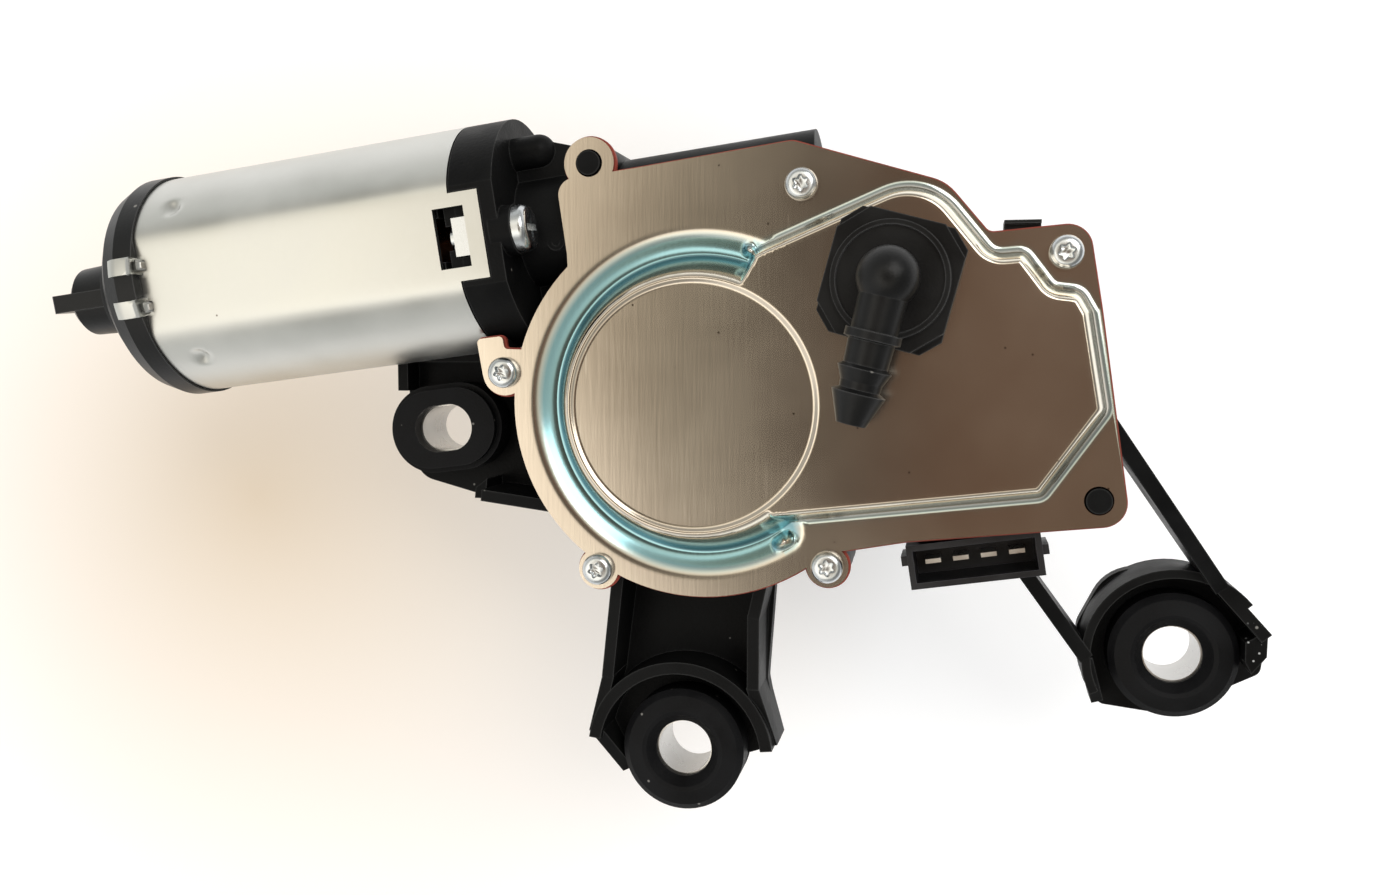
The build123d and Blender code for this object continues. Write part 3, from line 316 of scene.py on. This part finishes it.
def thicken(obj, thickness):  # sheet metal wall on the inner side, with sharp cut edges
    obj.data.materials.append(obj.data.materials[0])
    wall = obj.modifiers.new("sheet", "SOLIDIFY")
    wall.thickness = thickness
    wall.offset = -1
    wall.material_offset_rim = 1  # marks the cut edges until they are made sharp
    solid = evaluatedMesh(obj)
    obj.modifiers.clear()
    rimEdges = set()
    for face in solid.polygons:
        face.use_smooth = face.material_index == 0
        if face.material_index:
            rimEdges.update(face.edge_keys)
        face.material_index = 0
    for edge in solid.edges:
        edge.use_edge_sharp = edge.key in rimEdges
    solid.materials.pop()
    obj.data = solid


cover = {  # sizes in mm, angles in degrees round the worm wheel's axis
    "sheet": 1.0,
    "rise": 6.5,
    "flank": 2.5,  # width of the raised part's wall seen from above
    "roundFoot": 27.2,  # where the wall starts round the wheel
    "roundFlank": 4.6,
    "channelRadius": 27.3,
    "channelHalf": 4.7,
    "channelDepth": 1.6,
    "channelFrom": 69.0,
    "channelTo": 303.0,
    "channelReach": 33.5,  # up to here the wall follows the wheel, beyond it the raised part's outline
    "channelEnd": 7.0,  # the wall changes over in this angle
    "panRadius": 22.1,
    "panEdge": 1.0,
    "panDepth": 0.42,
    "boreRadius": 8.0,  # hole over the spindle
    "largestHole": 60.0,  # area in mm2 under which a loop is a hole
    "fine": 0.4,  # spacing of the mesh's rows along the wall
    "coarse": 0.62,  # and of its points elsewhere
    "panRows": (0.25, 4),  # spacing, and how many rows on each side of the pan's edge
    "channelBand": (23.2, 32.9),  # radii between which the rows run round the wheel
    "channelRows": (23.4, 32.8, 0.38),
    "channelPast": 10.0,  # angle by which these rows run past the channel
    "edgeClear": 0.35,  # free points stay off the sheet's edge and the holes by this
    "holeClear": 0.3,
    "pitColour": (0.16, 0.12, 0.09),
    "scratchColour": (0.63, 0.57, 0.49),
    # painted light on the zinc: gain and colour of the pale highlight on the wall's upper bend, the teal
    # reflection along the wall's foot and the teal reflection in the channel
    "paintedLight": {"crownHighlight": (0.9, (0.84, 0.80, 0.68)), "footReflection": (0.7, (0.45, 0.58, 0.58)),
              "dipReflection": (2.2, (0.25, 0.43, 0.47))},
}


def topLoops(obj, level):  # edges of a node's upward faces at one height, as arrays of x, y in mm
    shell = weldedCopy(obj)
    tops = [f for f in shell.faces if f.normal.z > 0.99 and abs(f.calc_center_median().z / mm - level) < 0.02]
    keep = set(tops)  # for looking up only: its order isn't fixed
    follow = {}
    for face in tops:
        for loop in face.loops:
            if sum(1 for f in loop.edge.link_faces if f in keep) == 1:
                follow[loop.vert] = loop.link_loop_next.vert
    loops = []
    while follow:
        vert = next(iter(follow))
        points = []
        while vert in follow:
            points.append((vert.co.x / mm, vert.co.y / mm))
            vert = follow.pop(vert)
        loops.append(np.array(points))
    shell.free()
    return [loop for loop in loops if len(loop) > 6]


def loopArea(points):
    x, y = points.T
    return abs(0.5 * float(np.sum(x * np.roll(y, -1) - y * np.roll(x, -1))))


def edgeGap(points, loop):  # distance to a closed outline, negative inside it, and the nearest place on it
    ends = np.roll(loop, -1, axis=0)
    best = np.full(len(points), 1e9)
    near = np.zeros_like(points)
    inside = np.zeros(len(points), bool)
    for a, b in zip(loop, ends):
        span = b - a
        along = np.clip(((points - a) @ span) / max(span @ span, 1e-12), 0, 1)
        footReflection = a + along[:, None] * span
        gap = np.hypot(*(points - footReflection).T)
        closer = gap < best
        best[closer] = gap[closer]
        near[closer] = footReflection[closer]
        if a[1] != b[1]:
            crosses = (a[1] > points[:, 1]) != (b[1] > points[:, 1])
            inside ^= crosses & (points[:, 0] < a[0] + (points[:, 1] - a[1]) * span[0] / span[1])
    return np.where(inside, -best, best), near


def easeStep(t):  # 0 to 1 with a soft start and end
    t = np.clip(t, 0, 1)
    return t * t * (3 - 2 * t)


def lattice(low, high, step):
    x, y = np.meshgrid(np.arange(low[0], high[0], step), np.arange(low[1], high[1], step))
    return np.column_stack([x.ravel(), y.ravel()])


def wheelPolar(points):
    x, y = points[:, 0] - wheelX, points[:, 1] - wheelY
    return np.hypot(x, y), np.degrees(np.arctan2(y, x)) % 360


def wheelCircle(radius, turns):
    return np.column_stack([wheelX + radius * np.cos(turns), wheelY + radius * np.sin(turns)])


def channelShare(points):  # 1 along the ring channel's lowest line, 0 beside it
    radius, turn = wheelPolar(points)
    ends = []
    for angle in (cover["channelFrom"], cover["channelTo"]):
        x = wheelX + cover["channelRadius"] * math.cos(math.radians(angle))
        y = wheelY + cover["channelRadius"] * math.sin(math.radians(angle))
        ends.append(np.hypot(points[:, 0] - x, points[:, 1] - y))
    between = (turn > cover["channelFrom"]) & (turn < cover["channelTo"])
    off = np.where(between, np.abs(radius - cover["channelRadius"]), np.minimum(*ends))
    return 1 - easeStep(off / cover["channelHalf"])


def domeFields(points, dome):  # gap to the raised part's foot, its nearest place, share of full height
    gap, near = edgeGap(points, dome)
    radius, turn = wheelPolar(points)
    opening = easeStep((turn - cover["channelFrom"] + 1) / cover["channelEnd"])
    closing = easeStep((cover["channelTo"] + 1 - turn) / cover["channelEnd"])
    inRing = opening * closing * (radius < cover["channelReach"])
    share = np.maximum(easeStep(-gap / cover["flank"]) * (1 - inRing),
                       easeStep((cover["roundFoot"] - radius) / cover["roundFlank"]))
    centre = np.array([wheelX, wheelY])
    ring = centre + (points - centre) / np.maximum(radius, 1e-6)[:, None] * cover["roundFoot"]
    roundGap = radius - cover["roundFoot"]
    useRing = (roundGap < gap) | (inRing > 0.5)
    return np.where(useRing, roundGap, gap), np.where(useRing[:, None], ring, near), share


def wallWidth(radius):
    return np.where(radius < cover["roundFoot"] + 1, cover["roundFlank"], cover["flank"])


def wallPoints(low, high, dome):  # a fine lattice, pulled into rows that follow the raised part's wall
    spots = lattice(low, high, cover["fine"])
    gap, near, _ = domeFields(spots, dome)
    radius, _ = wheelPolar(spots)
    onWall = (gap > -wallWidth(radius) - 0.5) & (gap < 1.3)
    nearPan = np.abs(radius - cover["panRadius"]) < 1.1
    row = np.round(gap / cover["fine"]) * cover["fine"]
    safe = np.where(np.abs(gap) > 1e-6, gap, 1e-6)[:, None]
    moved = near + (spots - near) / safe * row[:, None]
    return moved[onWall & ~nearPan & (np.abs(row) > 0.1)]


def openPoints(low, high, dome):  # the rest of the sheet
    spots = lattice(low, high, cover["coarse"])
    gap, _, _ = domeFields(spots, dome)
    radius, _ = wheelPolar(spots)
    calm = (gap < -wallWidth(radius) - 0.8) | (gap > 1.6)
    return spots[calm & (np.abs(radius - cover["panRadius"]) > 1.3)]


def panRows():
    spacing, each = cover["panRows"]
    turns = np.linspace(0, 2 * math.pi, 301)[:-1]
    return [wheelCircle(cover["panRadius"] + spacing * k, turns + 0.01 * (k % 2))
            for k in range(-each, each + 1)]


def sheetPoints(outer, dome, holes):  # the sheet's inner points
    low, high = outer.min(0), outer.max(0)
    free = np.vstack([wallPoints(low, high, dome), openPoints(low, high, dome), *panRows()])
    radius, turn = wheelPolar(free)
    start, end = cover["channelFrom"] - cover["channelPast"], cover["channelTo"] + cover["channelPast"]
    inner, outside = cover["channelBand"]
    inBand = (radius > inner) & (radius < outside) & (turn > start) & (turn < end)
    turns = np.radians(np.linspace(start, end, 420))
    free = np.vstack([free[~inBand]] + [wheelCircle(r, turns) for r in np.arange(*cover["channelRows"])])
    keep = edgeGap(free, outer)[0] < -cover["edgeClear"]
    for hole in holes:
        keep &= edgeGap(free, hole)[0] > cover["holeClear"]
    return free[keep]


def makeCover():
    loops = topLoops(nodes["cover_plate"], coverLevel)
    outer = max(loops, key=loopArea)
    dome = max((loop for loop in loops if loop is not outer), key=loopArea)
    holes = [loop for loop in loops if loopArea(loop) < cover["largestHole"]]
    holes.append(np.array([(cover["boreRadius"] * math.cos(a), cover["boreRadius"] * math.sin(a))
                           for a in np.linspace(0, 2 * math.pi, 65)[:-1]]))
    points = [Vector(p) for p in sheetPoints(outer, dome, holes)]
    edges = []
    for loop in [outer] + holes:
        start = len(points)
        points += [Vector(p) for p in loop]
        edges += [(start + k, start + (k + 1) % len(loop)) for k in range(len(loop))]
    verts, _, faces, _, _, _ = delaunay_2d_cdt(points, edges, [], 0, 1e-5)
    flat = np.array([(v.x, v.y) for v in verts])
    centres = np.array([flat[list(f)].mean(0) for f in faces])
    inSheet = edgeGap(centres, outer)[0] < 0
    for hole in holes:
        inSheet &= edgeGap(centres, hole)[0] > 0
    gap, _, rise = domeFields(flat, dome)
    radius, _ = wheelPolar(flat)
    channel = channelShare(flat)
    pan = easeStep((cover["panRadius"] + cover["panEdge"] / 2 - radius) / cover["panEdge"])
    height = cover["rise"] * rise - cover["channelDepth"] * (channel * (1 - rise)) - cover["panDepth"] * pan
    mesh = newMesh("coverPlate", [(x * mm, y * mm, (h + coverLevel) * mm) for (x, y), h in zip(flat, height)],
                   [face for face, good in zip(faces, inSheet) if good])
    shares = {"dipReflection": channel * (1 - easeStep(rise * 3.2)),  # painted light, where it goes: teal reflection in the channel, teal reflection along the line at the wall's foot, and a pale highlight on its upper bend
              "footReflection": np.exp(-((gap - 0.3) / 0.55) ** 2),  # the line along the wall's foot
              "crownHighlight": easeStep(rise * 3 - 1.6) * (1 - easeStep((rise - 0.9) * 12))}  # and its upper bend
    for label, values in shares.items():
        mesh.attributes.new(label, "FLOAT", "POINT").data.foreach_set("value", values.astype(np.float32))
    finishSheet(mesh, lambda face: Vector((0, 0, 1)))
    return newObject("coverPlate", mesh)


def makeCoverMaterial(look):
    made, tree, shader = startMaterial("pressedZinc")
    body = addSurface(tree, shader, look, 0.0001)
    pits = placeGroup(tree, specks, scale=900.0, amount=0.012)
    scratches = placeGroup(tree, specks, scale=700.0, stretch=(1.0, 0.07, 1.0), amount=0.05)
    body = mixColour(tree, pits.outputs["mask"], body, cover["pitColour"])
    body = mixColour(tree, scratches.outputs["mask"], body, cover["scratchColour"])
    # the painted highlight and painted teal reflections, each mixed in where its attribute says
    for label, (gain, colour) in cover["paintedLight"].items():
        share = addNode(tree, "ShaderNodeAttribute", attribute_name=label)
        part = addNode(tree, "ShaderNodeMath", {0: share.outputs["Fac"], 1: gain}, operation="MULTIPLY",
                       use_clamp=True)
        body = mixColour(tree, part.outputs[0], body, colour)
    tree.links.new(body, shader.inputs["Base Color"])
    shader.inputs["Metallic"].default_value = 1.0
    return made


coverPlate = makeCover()
coverPlate.data.materials.append(makeCoverMaterial(metals["zinc_sheet"]))
thicken(coverPlate, cover["sheet"] * mm)
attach(coverPlate, "casing")
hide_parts("cover_plate")
print("cover plate:", len(coverPlate.data.polygons), "faces")


yoke = {  # sizes in mm, places along the motor's axis
    "sheet": 1.2,
    "roll": 4.0,  # turn of the flats about the axis, degrees
    "radius": 21.8,
    "flat": 19.8,  # from the motor's axis to each flat
    "softness": 60.0,  # higher is a sharper change from round to flat
    "far": -105.5,
    "near": -39.8,
    "tongueNear": -34.1,
    "tongueHalf": 8.0,
    "window": (-43.2, -37.2),
    "windowHalf": 5.5,
    "clawHalf": (2.2, 5.2),
    "clawLength": 4.2,
    "clawRows": 4,
    "clawLift": 0.5,
    "clawOver": 4.5,  # length of the can that follows the cap beside each claw
    "notch": 1.0,
    "notchLength": 9.0,
    "rearInset": 0.6,
    "rearEdge": 2.4,
    "cupRadius": 8.6,
    "cupDepth": 11.0,
    "cupDivisions": 48,
    "divisions": 264,
    "closest": 0.012,  # steps nearer than this to a cut edge are left out, radians
    "rows": 76,
    "tongueRows": 6,
    "dents": [(-97.5, 41.0), (-97.5, -43.0), (-97.5, 139.0), (-97.5, -137.0)],  # place and angle, degrees
    "dentDepth": 1.3,
    "dentAcross": 2.3,
    "dentAlong": 2.0,
}

motorAxis = Vector(joints["armature_spin"]["axis"])
motorFoot = Vector(joints["armature_spin"]["pos_m"])
motorRoll = math.radians(yoke["roll"])
crossways = Vector((0, 0, 1)).cross(motorAxis)
flatUp = Vector((0, 0, 1)) * math.cos(motorRoll) - crossways * math.sin(motorRoll)
flatSide = crossways * math.cos(motorRoll) + Vector((0, 0, 1)) * math.sin(motorRoll)


def motorPoint(along, angle, radius):  # angle in radians from the upper flat's normal
    ray = flatUp * math.cos(angle) + flatSide * math.sin(angle)
    return motorFoot + motorAxis * (along * mm) + ray * (radius * mm)


def acrossFlat(angle):  # distance from the flat's middle line, far off on the round sides
    return abs(yoke["flat"] * math.tan(angle)) if abs(math.cos(angle)) > 0.5 else 99


def softFlat(radius, flat, angle):
    reach = flat / max(abs(math.cos(angle)), 1e-6)
    power = yoke["softness"]
    return (radius ** -power + reach ** -power) ** (-1 / power)


def yokeRadius(along, angle):
    radius = softFlat(yoke["radius"], yoke["flat"], angle)
    for place, turn in yoke["dents"]:
        off = math.remainder(angle - math.radians(turn), 2 * math.pi)
        sideways = off * yoke["radius"] / yoke["dentAcross"]
        lengthways = (along - place) / yoke["dentAlong"]
        gap = math.hypot(sideways, lengthways)
        if gap < 1:  # deeper towards the flange
            slope = 0.35 + 0.65 * max(0.0, min(1.0, 0.5 + lengthways * 1.4))
            radius -= yoke["dentDepth"] * (1 - gap ** 2) * slope
    return radius


def yokeAngles():  # even steps, with one on each edge of the windows, tongues and claws
    angles = set()
    for half in (yoke["windowHalf"], yoke["tongueHalf"], *yoke["clawHalf"], 0.0):
        turn = math.atan2(half, yoke["flat"])
        angles |= {round(a % (2 * math.pi), 6) for a in (turn, -turn, math.pi + turn, math.pi - turn)}
    for step in range(yoke["divisions"]):
        turn = 2 * math.pi * step / yoke["divisions"]
        if min(abs(math.remainder(turn - a, 2 * math.pi)) for a in angles) > yoke["closest"]:
            angles.add(round(turn, 6))
    return sorted(angles)


def yokeStations():  # places along the axis: claws, can and tongues
    rows = set(np.round(np.linspace(yoke["far"], yoke["near"], yoke["rows"]), 4))
    rows |= {*yoke["window"], yoke["near"]}
    rows |= set(np.round(np.linspace(yoke["near"], yoke["tongueNear"], yoke["tongueRows"]), 4))
    count = yoke["clawRows"]
    return [yoke["far"] - yoke["clawLength"] * k / count for k in range(count, 0, -1)] + sorted(rows)


def laidOnCap(point, place, angle, capSkin):  # a claw's point, set on the black cap under it
    ray = (motorPoint(place, angle, 1) - motorPoint(place, angle, 0)).normalized()
    hit = capSkin.ray_cast(motorPoint(place, angle, 40), -ray)[0]
    if hit and (hit - point).dot(ray) > -0.002:
        return hit + ray * (yoke["clawLift"] * mm)
    return point


def isCutAway(low, high, side):  # the open places of the can between two stations
    if high <= yoke["far"] + 1e-6:
        return not yoke["clawHalf"][0] < side < yoke["clawHalf"][1]
    if low >= yoke["near"] - 1e-6 and side > yoke["tongueHalf"]:
        return True
    inWindow = low >= yoke["window"][0] - 1e-6 and high <= yoke["window"][1] + 1e-6
    return inWindow and side < yoke["windowHalf"]


def yokeOutward(face):
    if abs(face.normal.dot(motorAxis)) > 0.9:
        return -motorAxis
    middle = face.calc_center_median() - motorFoot
    return middle - motorAxis * middle.dot(motorAxis)


def makeYoke():
    angles, stations = yokeAngles(), yokeStations()
    capMesh = nodes["end_cap"].data
    capSkin = BVHTree.FromPolygons([v.co for v in capMesh.vertices], [p.vertices for p in capMesh.polygons])
    clawNear, clawFar = yoke["clawHalf"]
    points, faces = [], []
    for r, along in enumerate(stations):
        for angle in angles:
            side = acrossFlat(angle)
            place = along
            if side < clawNear and along >= yoke["far"]:
                fade = max(0.0, 1 - (along - yoke["far"]) / yoke["notchLength"])
                place += yoke["notch"] * (1 - side / clawNear) * fade
            point = motorPoint(place, angle, yokeRadius(along, angle))
            besideClaw = clawNear - 0.01 < side < clawFar + 0.01 and along < yoke["far"] + yoke["clawOver"]
            if r < yoke["clawRows"] or besideClaw:
                point = laidOnCap(point, place, angle, capSkin)
            points.append(point)
    count = len(angles)
    for r in range(len(stations) - 1):
        for a, angle in enumerate(angles):
            b = (a + 1) % count
            side = acrossFlat((angle + (angles[b] if b else 2 * math.pi)) / 2)
            if not isCutAway(stations[r], stations[r + 1], side):
                near, far = r * count, (r + 1) * count
                faces.append((near + a, far + a, far + b, near + b))
    inset, cupEnd = yoke["far"] + yoke["rearInset"], yoke["far"] - yoke["cupDepth"]
    rear = [(inset, yoke["radius"] - yoke["rearEdge"]), (inset, yoke["cupRadius"] + yoke["rearInset"]),
            (yoke["far"], yoke["cupRadius"]), (cupEnd, yoke["cupRadius"]), (cupEnd, 0.2)]
    start, count = len(points), yoke["cupDivisions"]
    for along, radius in rear:
        points += [motorPoint(along, 2 * math.pi * k / count, radius) for k in range(count)]
    for r in range(len(rear) - 1):
        for k in range(count):
            a, b = start + r * count + k, start + r * count + (k + 1) % count
            faces.append((a, b, b + count, a + count))
    mesh = newMesh("motorYoke", points, faces)
    finishSheet(mesh, yokeOutward)
    return newObject("motorYoke", mesh)


motorYoke = makeYoke()
motorYoke.data.materials.append(materials["yoke_steel"])
thicken(motorYoke, yoke["sheet"] * mm)
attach(motorYoke, "casing")
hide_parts("motor_yoke")
print("motor yoke:", len(motorYoke.data.polygons), "faces")


screw = {  # sizes in mm
    "shank": 1.5,
    "length": 12.0,
    "profile": [(2.9, 0.02), (2.9, 0.85), (2.78, 1.4), (2.4, 1.85), (1.9, 2.06)],  # head: radius and level
    "lobes": 6,
    "lobe": 1.2,
    "lobeWave": 0.24,
    "recess": [(0.14, 2.1), (0.03, 1.98), (0.0, 1.0), (-0.12, 0.92)],  # added to the lobes' radius, and level
    "divisions": 60,
    "sharpAngle": 42.0,
    "seed": 7,
}


def makeScrewForm():  # one pan head screw with a six-lobe recess, standing at the origin
    count = screw["divisions"]
    rows = [[(screw["shank"], -screw["length"])] * count, [(screw["shank"], 0.02)] * count]
    rows += [[point] * count for point in screw["profile"]]
    waves = [screw["lobeWave"] * math.cos(screw["lobes"] * 2 * math.pi * k / count) for k in range(count)]
    for extra, level in screw["recess"]:
        rows.append([(screw["lobe"] + wave + extra, level) for wave in waves])
    points = [(r * math.cos(2 * math.pi * k / count) * mm, r * math.sin(2 * math.pi * k / count) * mm, z * mm)
              for row in rows for k, (r, z) in enumerate(row)]
    faces = []
    for start in range(0, (len(rows) - 1) * count, count):
        for k in range(count):
            a, b = start + k, start + (k + 1) % count
            faces.append((a, b, b + count, a + count))
    faces.append(tuple(reversed(range(count))))
    faces.append(tuple(range((len(rows) - 1) * count, len(rows) * count)))
    mesh = newMesh("screwForm", points, faces)
    form = bmesh.new()
    form.from_mesh(mesh)
    bmesh.ops.recalc_face_normals(form, faces=form.faces)
    for face in form.faces:
        face.smooth = True
    for edge in form.edges:
        edge.smooth = edge.calc_face_angle() < math.radians(screw["sharpAngle"])
    form.to_mesh(mesh)
    form.free()
    return newObject("screwForm", mesh)


def screwPlaces():  # head centres of the screws in the frame
    shell = weldedCopy(nodes["cover_screws"])
    left = set(shell.verts)
    places = []
    while left:
        island, queue = [], [left.pop()]
        while queue:
            vert = queue.pop()
            island.append(vert.co.copy())
            for edge in vert.link_edges:
                other = edge.other_vert(vert)
                if other in left:
                    left.remove(other)
                    queue.append(other)
        x = (min(c.x for c in island) + max(c.x for c in island)) / 2
        y = (min(c.y for c in island) + max(c.y for c in island)) / 2
        places.append((x, y, coverLevel * mm))
    shell.free()
    return sorted(places)


def makeScatterTree():  # a form set on each point and turned about Z at random
    tree = bpy.data.node_groups.new("formOnPlaces", "GeometryNodeTree")
    for label, way, kind in (("Geometry", "INPUT", "Geometry"), ("form", "INPUT", "Object"),
                             ("seed", "INPUT", "Int"), ("finish", "INPUT", "Material"),
                             ("Geometry", "OUTPUT", "Geometry")):
        tree.interface.new_socket(label, in_out=way, socket_type="NodeSocket" + kind)
    given = tree.nodes.new("NodeGroupInput").outputs
    toPoints = addNode(tree, "GeometryNodeMeshToPoints", {"Mesh": given["Geometry"]})
    info = addNode(tree, "GeometryNodeObjectInfo", {"Object": given["form"]})
    turn = addNode(tree, "FunctionNodeRandomValue", {0: (0, 0, 0), 1: (0, 0, 2 * math.pi),
                                                     "Seed": given["seed"]}, data_type="FLOAT_VECTOR")
    placed = addNode(tree, "GeometryNodeInstanceOnPoints", {"Points": toPoints.outputs[0],
                                                            "Instance": info.outputs["Geometry"],
                                                            "Rotation": turn.outputs[0]})
    real = addNode(tree, "GeometryNodeRealizeInstances", {"Geometry": placed.outputs[0]})
    finish = addNode(tree, "GeometryNodeSetMaterial", {"Geometry": real.outputs[0],
                                                       "Material": given["finish"]})
    tree.links.new(finish.outputs[0], tree.nodes.new("NodeGroupOutput").inputs["Geometry"])
    return tree


def makeScrews():
    form = makeScrewForm()
    obj = newObject("coverScrews", newMesh("coverScrews", screwPlaces(), []))
    scatter = obj.modifiers.new("formOnPlaces", "NODES")
    scatter.node_group = makeScatterTree()
    values = {"form": form, "seed": screw["seed"], "finish": materials["fastener"]}
    for item in scatter.node_group.interface.items_tree:
        if item.in_out == "INPUT" and item.name in values:
            scatter[item.identifier] = values[item.name]
    made = evaluatedMesh(obj)
    obj.modifiers.clear()
    obj.data = made
    bpy.data.objects.remove(form)
    return obj


coverScrews = makeScrews()
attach(coverScrews, "casing")
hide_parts("cover_screws")
print("cover screws:", len(coverScrews.data.polygons), "faces")


stage = {
    "floorHalf": 2.5,
    "floorLevel": -9.3,
    "floorColour": (0.90, 0.895, 0.885),
    "floorLift": 0.28,  # the floor's own light, seen by the camera and in reflections only
    # painted shadow: a warm shade on the floor round the object's lower left, centred here and fading out
    # over this reach
    "shadowColour": (0.66, 0.55, 0.42),
    "shadowPlace": (-0.170, -0.050, -0.0093),
    "shadowReach": 0.17,
    "lampAim": (-0.015, -0.02, 0.05),
    "lamps": {"keyLamp": {"place": (0.62, 0.62, 1.05), "size": 0.9, "power": 8.5,
                          "colour": (1.0, 0.985, 0.96)},
              "fillLamp": {"place": (-0.7, -0.5, 1.0), "size": 1.1, "power": 2.5,
                           "colour": (1.0, 0.96, 0.92)}},
    "skyColour": (0.97, 0.98, 1.0),  # soft light on the object
    "skyStrength": 0.8,
}

room = {  # what metal reflects: pale table, grey walls, a bright ring of light and a dim ceiling
    "upward": [(0.0, (0.62, 0.62, 0.60)), (0.25, (0.60, 0.61, 0.60)), (0.45, (0.36, 0.36, 0.34)),
               (0.72, (0.42, 0.41, 0.38)), (0.83, (1.2, 1.16, 1.03)), (0.92, (1.15, 1.06, 0.90)),
               (0.957, (0.86, 0.74, 0.58)), (0.983, (0.36, 0.27, 0.21)), (1.0, (0.24, 0.175, 0.135))],
    "ceilingFrom": (0.93, 0.965),  # the ceiling takes over between these heights
    "ceilingWidth": (-0.4, 0.4),
    "ceiling": [(0.0, (0.80, 0.74, 0.62)), (0.12, (0.52, 0.47, 0.38)), (0.23, (0.18, 0.165, 0.13)),
                (0.36, (0.075, 0.062, 0.05)), (0.50, (0.19, 0.117, 0.080)), (0.72, (0.20, 0.142, 0.105)),
                (1.0, (0.40, 0.34, 0.28))],
    "sideways": (-0.9, 0.6),
    "sideStrength": (1.75, 0.75),  # brighter on the left
}

view = {
    "lens": 32.33,
    "place": (11.84, -11.97, 288.24),  # mm
    "right": (0.97822, 0.0, -0.20755),
    "up": (-0.01581, 0.99709, -0.07451),
}


def makeFloor():
    side, level = stage["floorHalf"], stage["floorLevel"] * mm
    corners = [(-side, -side, level), (side, -side, level), (side, side, level), (-side, side, level)]
    floor = newObject("floor", newMesh("floor", corners, [(0, 1, 2, 3)]))
    made, tree, shader = startMaterial("paleFloor")
    # a warm shade painted on the floor where the object's soft shadow falls
    paintedShadow = nearPoint(tree, stage["shadowPlace"], 0.0, stage["shadowReach"])
    colour = mixColour(tree, paintedShadow, stage["floorColour"], stage["shadowColour"])
    rays = addNode(tree, "ShaderNodeLightPath")
    camera, glossy = rays.outputs["Is Camera Ray"], rays.outputs["Is Glossy Ray"]
    seen = addNode(tree, "ShaderNodeMath", {0: camera, 1: glossy}, operation="ADD", use_clamp=True)
    lift = addNode(tree, "ShaderNodeMath", {0: seen.outputs[0], 1: stage["floorLift"]}, operation="MULTIPLY")
    tree.links.new(colour, shader.inputs["Base Color"])
    tree.links.new(colour, shader.inputs["Emission Color"])
    tree.links.new(lift.outputs[0], shader.inputs["Emission Strength"])
    shader.inputs["Roughness"].default_value = 0.85
    shader.inputs["Specular IOR Level"].default_value = 0.1
    floor.data.materials.append(made)


def addLamp(name, values):
    lamp = bpy.data.lights.new(name, "AREA")
    lamp.shape = "SQUARE"
    lamp.size = values["size"]
    lamp.energy = values["power"]
    lamp.color = values["colour"]
    obj = newObject(name, lamp)
    obj.location = values["place"]
    aim = Vector(stage["lampAim"]) - Vector(values["place"])
    obj.rotation_euler = aim.to_track_quat("-Z", "Y").to_euler()


def addRamp(tree, value, stops):
    ramp = addNode(tree, "ShaderNodeValToRGB", {"Fac": value})
    elements = ramp.color_ramp.elements  # a new ramp has one at 0 and one at 1
    elements[0].color, elements[1].color = (*stops[0][1], 1), (*stops[-1][1], 1)
    for place, colour in stops[1:-1]:
        elements.new(place).color = (*colour, 1)
    return ramp.outputs["Color"]


def makeWorld():
    world = bpy.data.worlds.new("softRoom")
    bpy.context.scene.world = world
    world.use_nodes = True
    tree = world.node_tree
    tree.nodes.clear()
    place = addNode(tree, "ShaderNodeTexCoord")
    split = addNode(tree, "ShaderNodeSeparateXYZ", {0: place.outputs["Generated"]})
    across, height = split.outputs["X"], split.outputs["Z"]
    walls = addRamp(tree, height, room["upward"])
    ceiling = addRamp(tree, mapRange(tree, across, room["ceilingWidth"]), room["ceiling"])
    reflected = mixColour(tree, mapRange(tree, height, room["ceilingFrom"]), walls, ceiling)
    strength = mapRange(tree, across, room["sideways"], room["sideStrength"])
    backdrop = addNode(tree, "ShaderNodeBackground", {"Color": (1, 1, 1, 1), "Strength": 1.0})
    sky = addNode(tree, "ShaderNodeBackground", {"Color": (*stage["skyColour"], 1),
                                                 "Strength": stage["skyStrength"]})
    inside = addNode(tree, "ShaderNodeBackground", {"Color": reflected, "Strength": strength})
    rays = addNode(tree, "ShaderNodeLightPath")
    unseen = addNode(tree, "ShaderNodeMixShader", {0: rays.outputs["Is Glossy Ray"], 1: sky.outputs[0],
                                                   2: inside.outputs[0]})
    whole = addNode(tree, "ShaderNodeMixShader", {0: rays.outputs["Is Camera Ray"], 1: unseen.outputs[0],
                                                  2: backdrop.outputs[0]})
    tree.links.new(whole.outputs[0], addNode(tree, "ShaderNodeOutputWorld").inputs["Surface"])


def makeCamera():
    data = bpy.data.cameras.new("camera")
    data.sensor_width = 36.0
    data.lens = view["lens"]
    data.clip_start = 0.01
    obj = newObject("camera", data)
    right, up = Vector(view["right"]), Vector(view["up"])
    turn = Matrix((right, up, right.cross(up))).transposed().to_4x4()
    obj.matrix_world = Matrix.Translation([v * mm for v in view["place"]]) @ turn
    bpy.context.scene.camera = obj


makeFloor()
for name, values in stage["lamps"].items():
    addLamp(name, values)
makeWorld()
makeCamera()
bpy.context.scene.view_settings.view_transform = "Standard"
print("stage set")
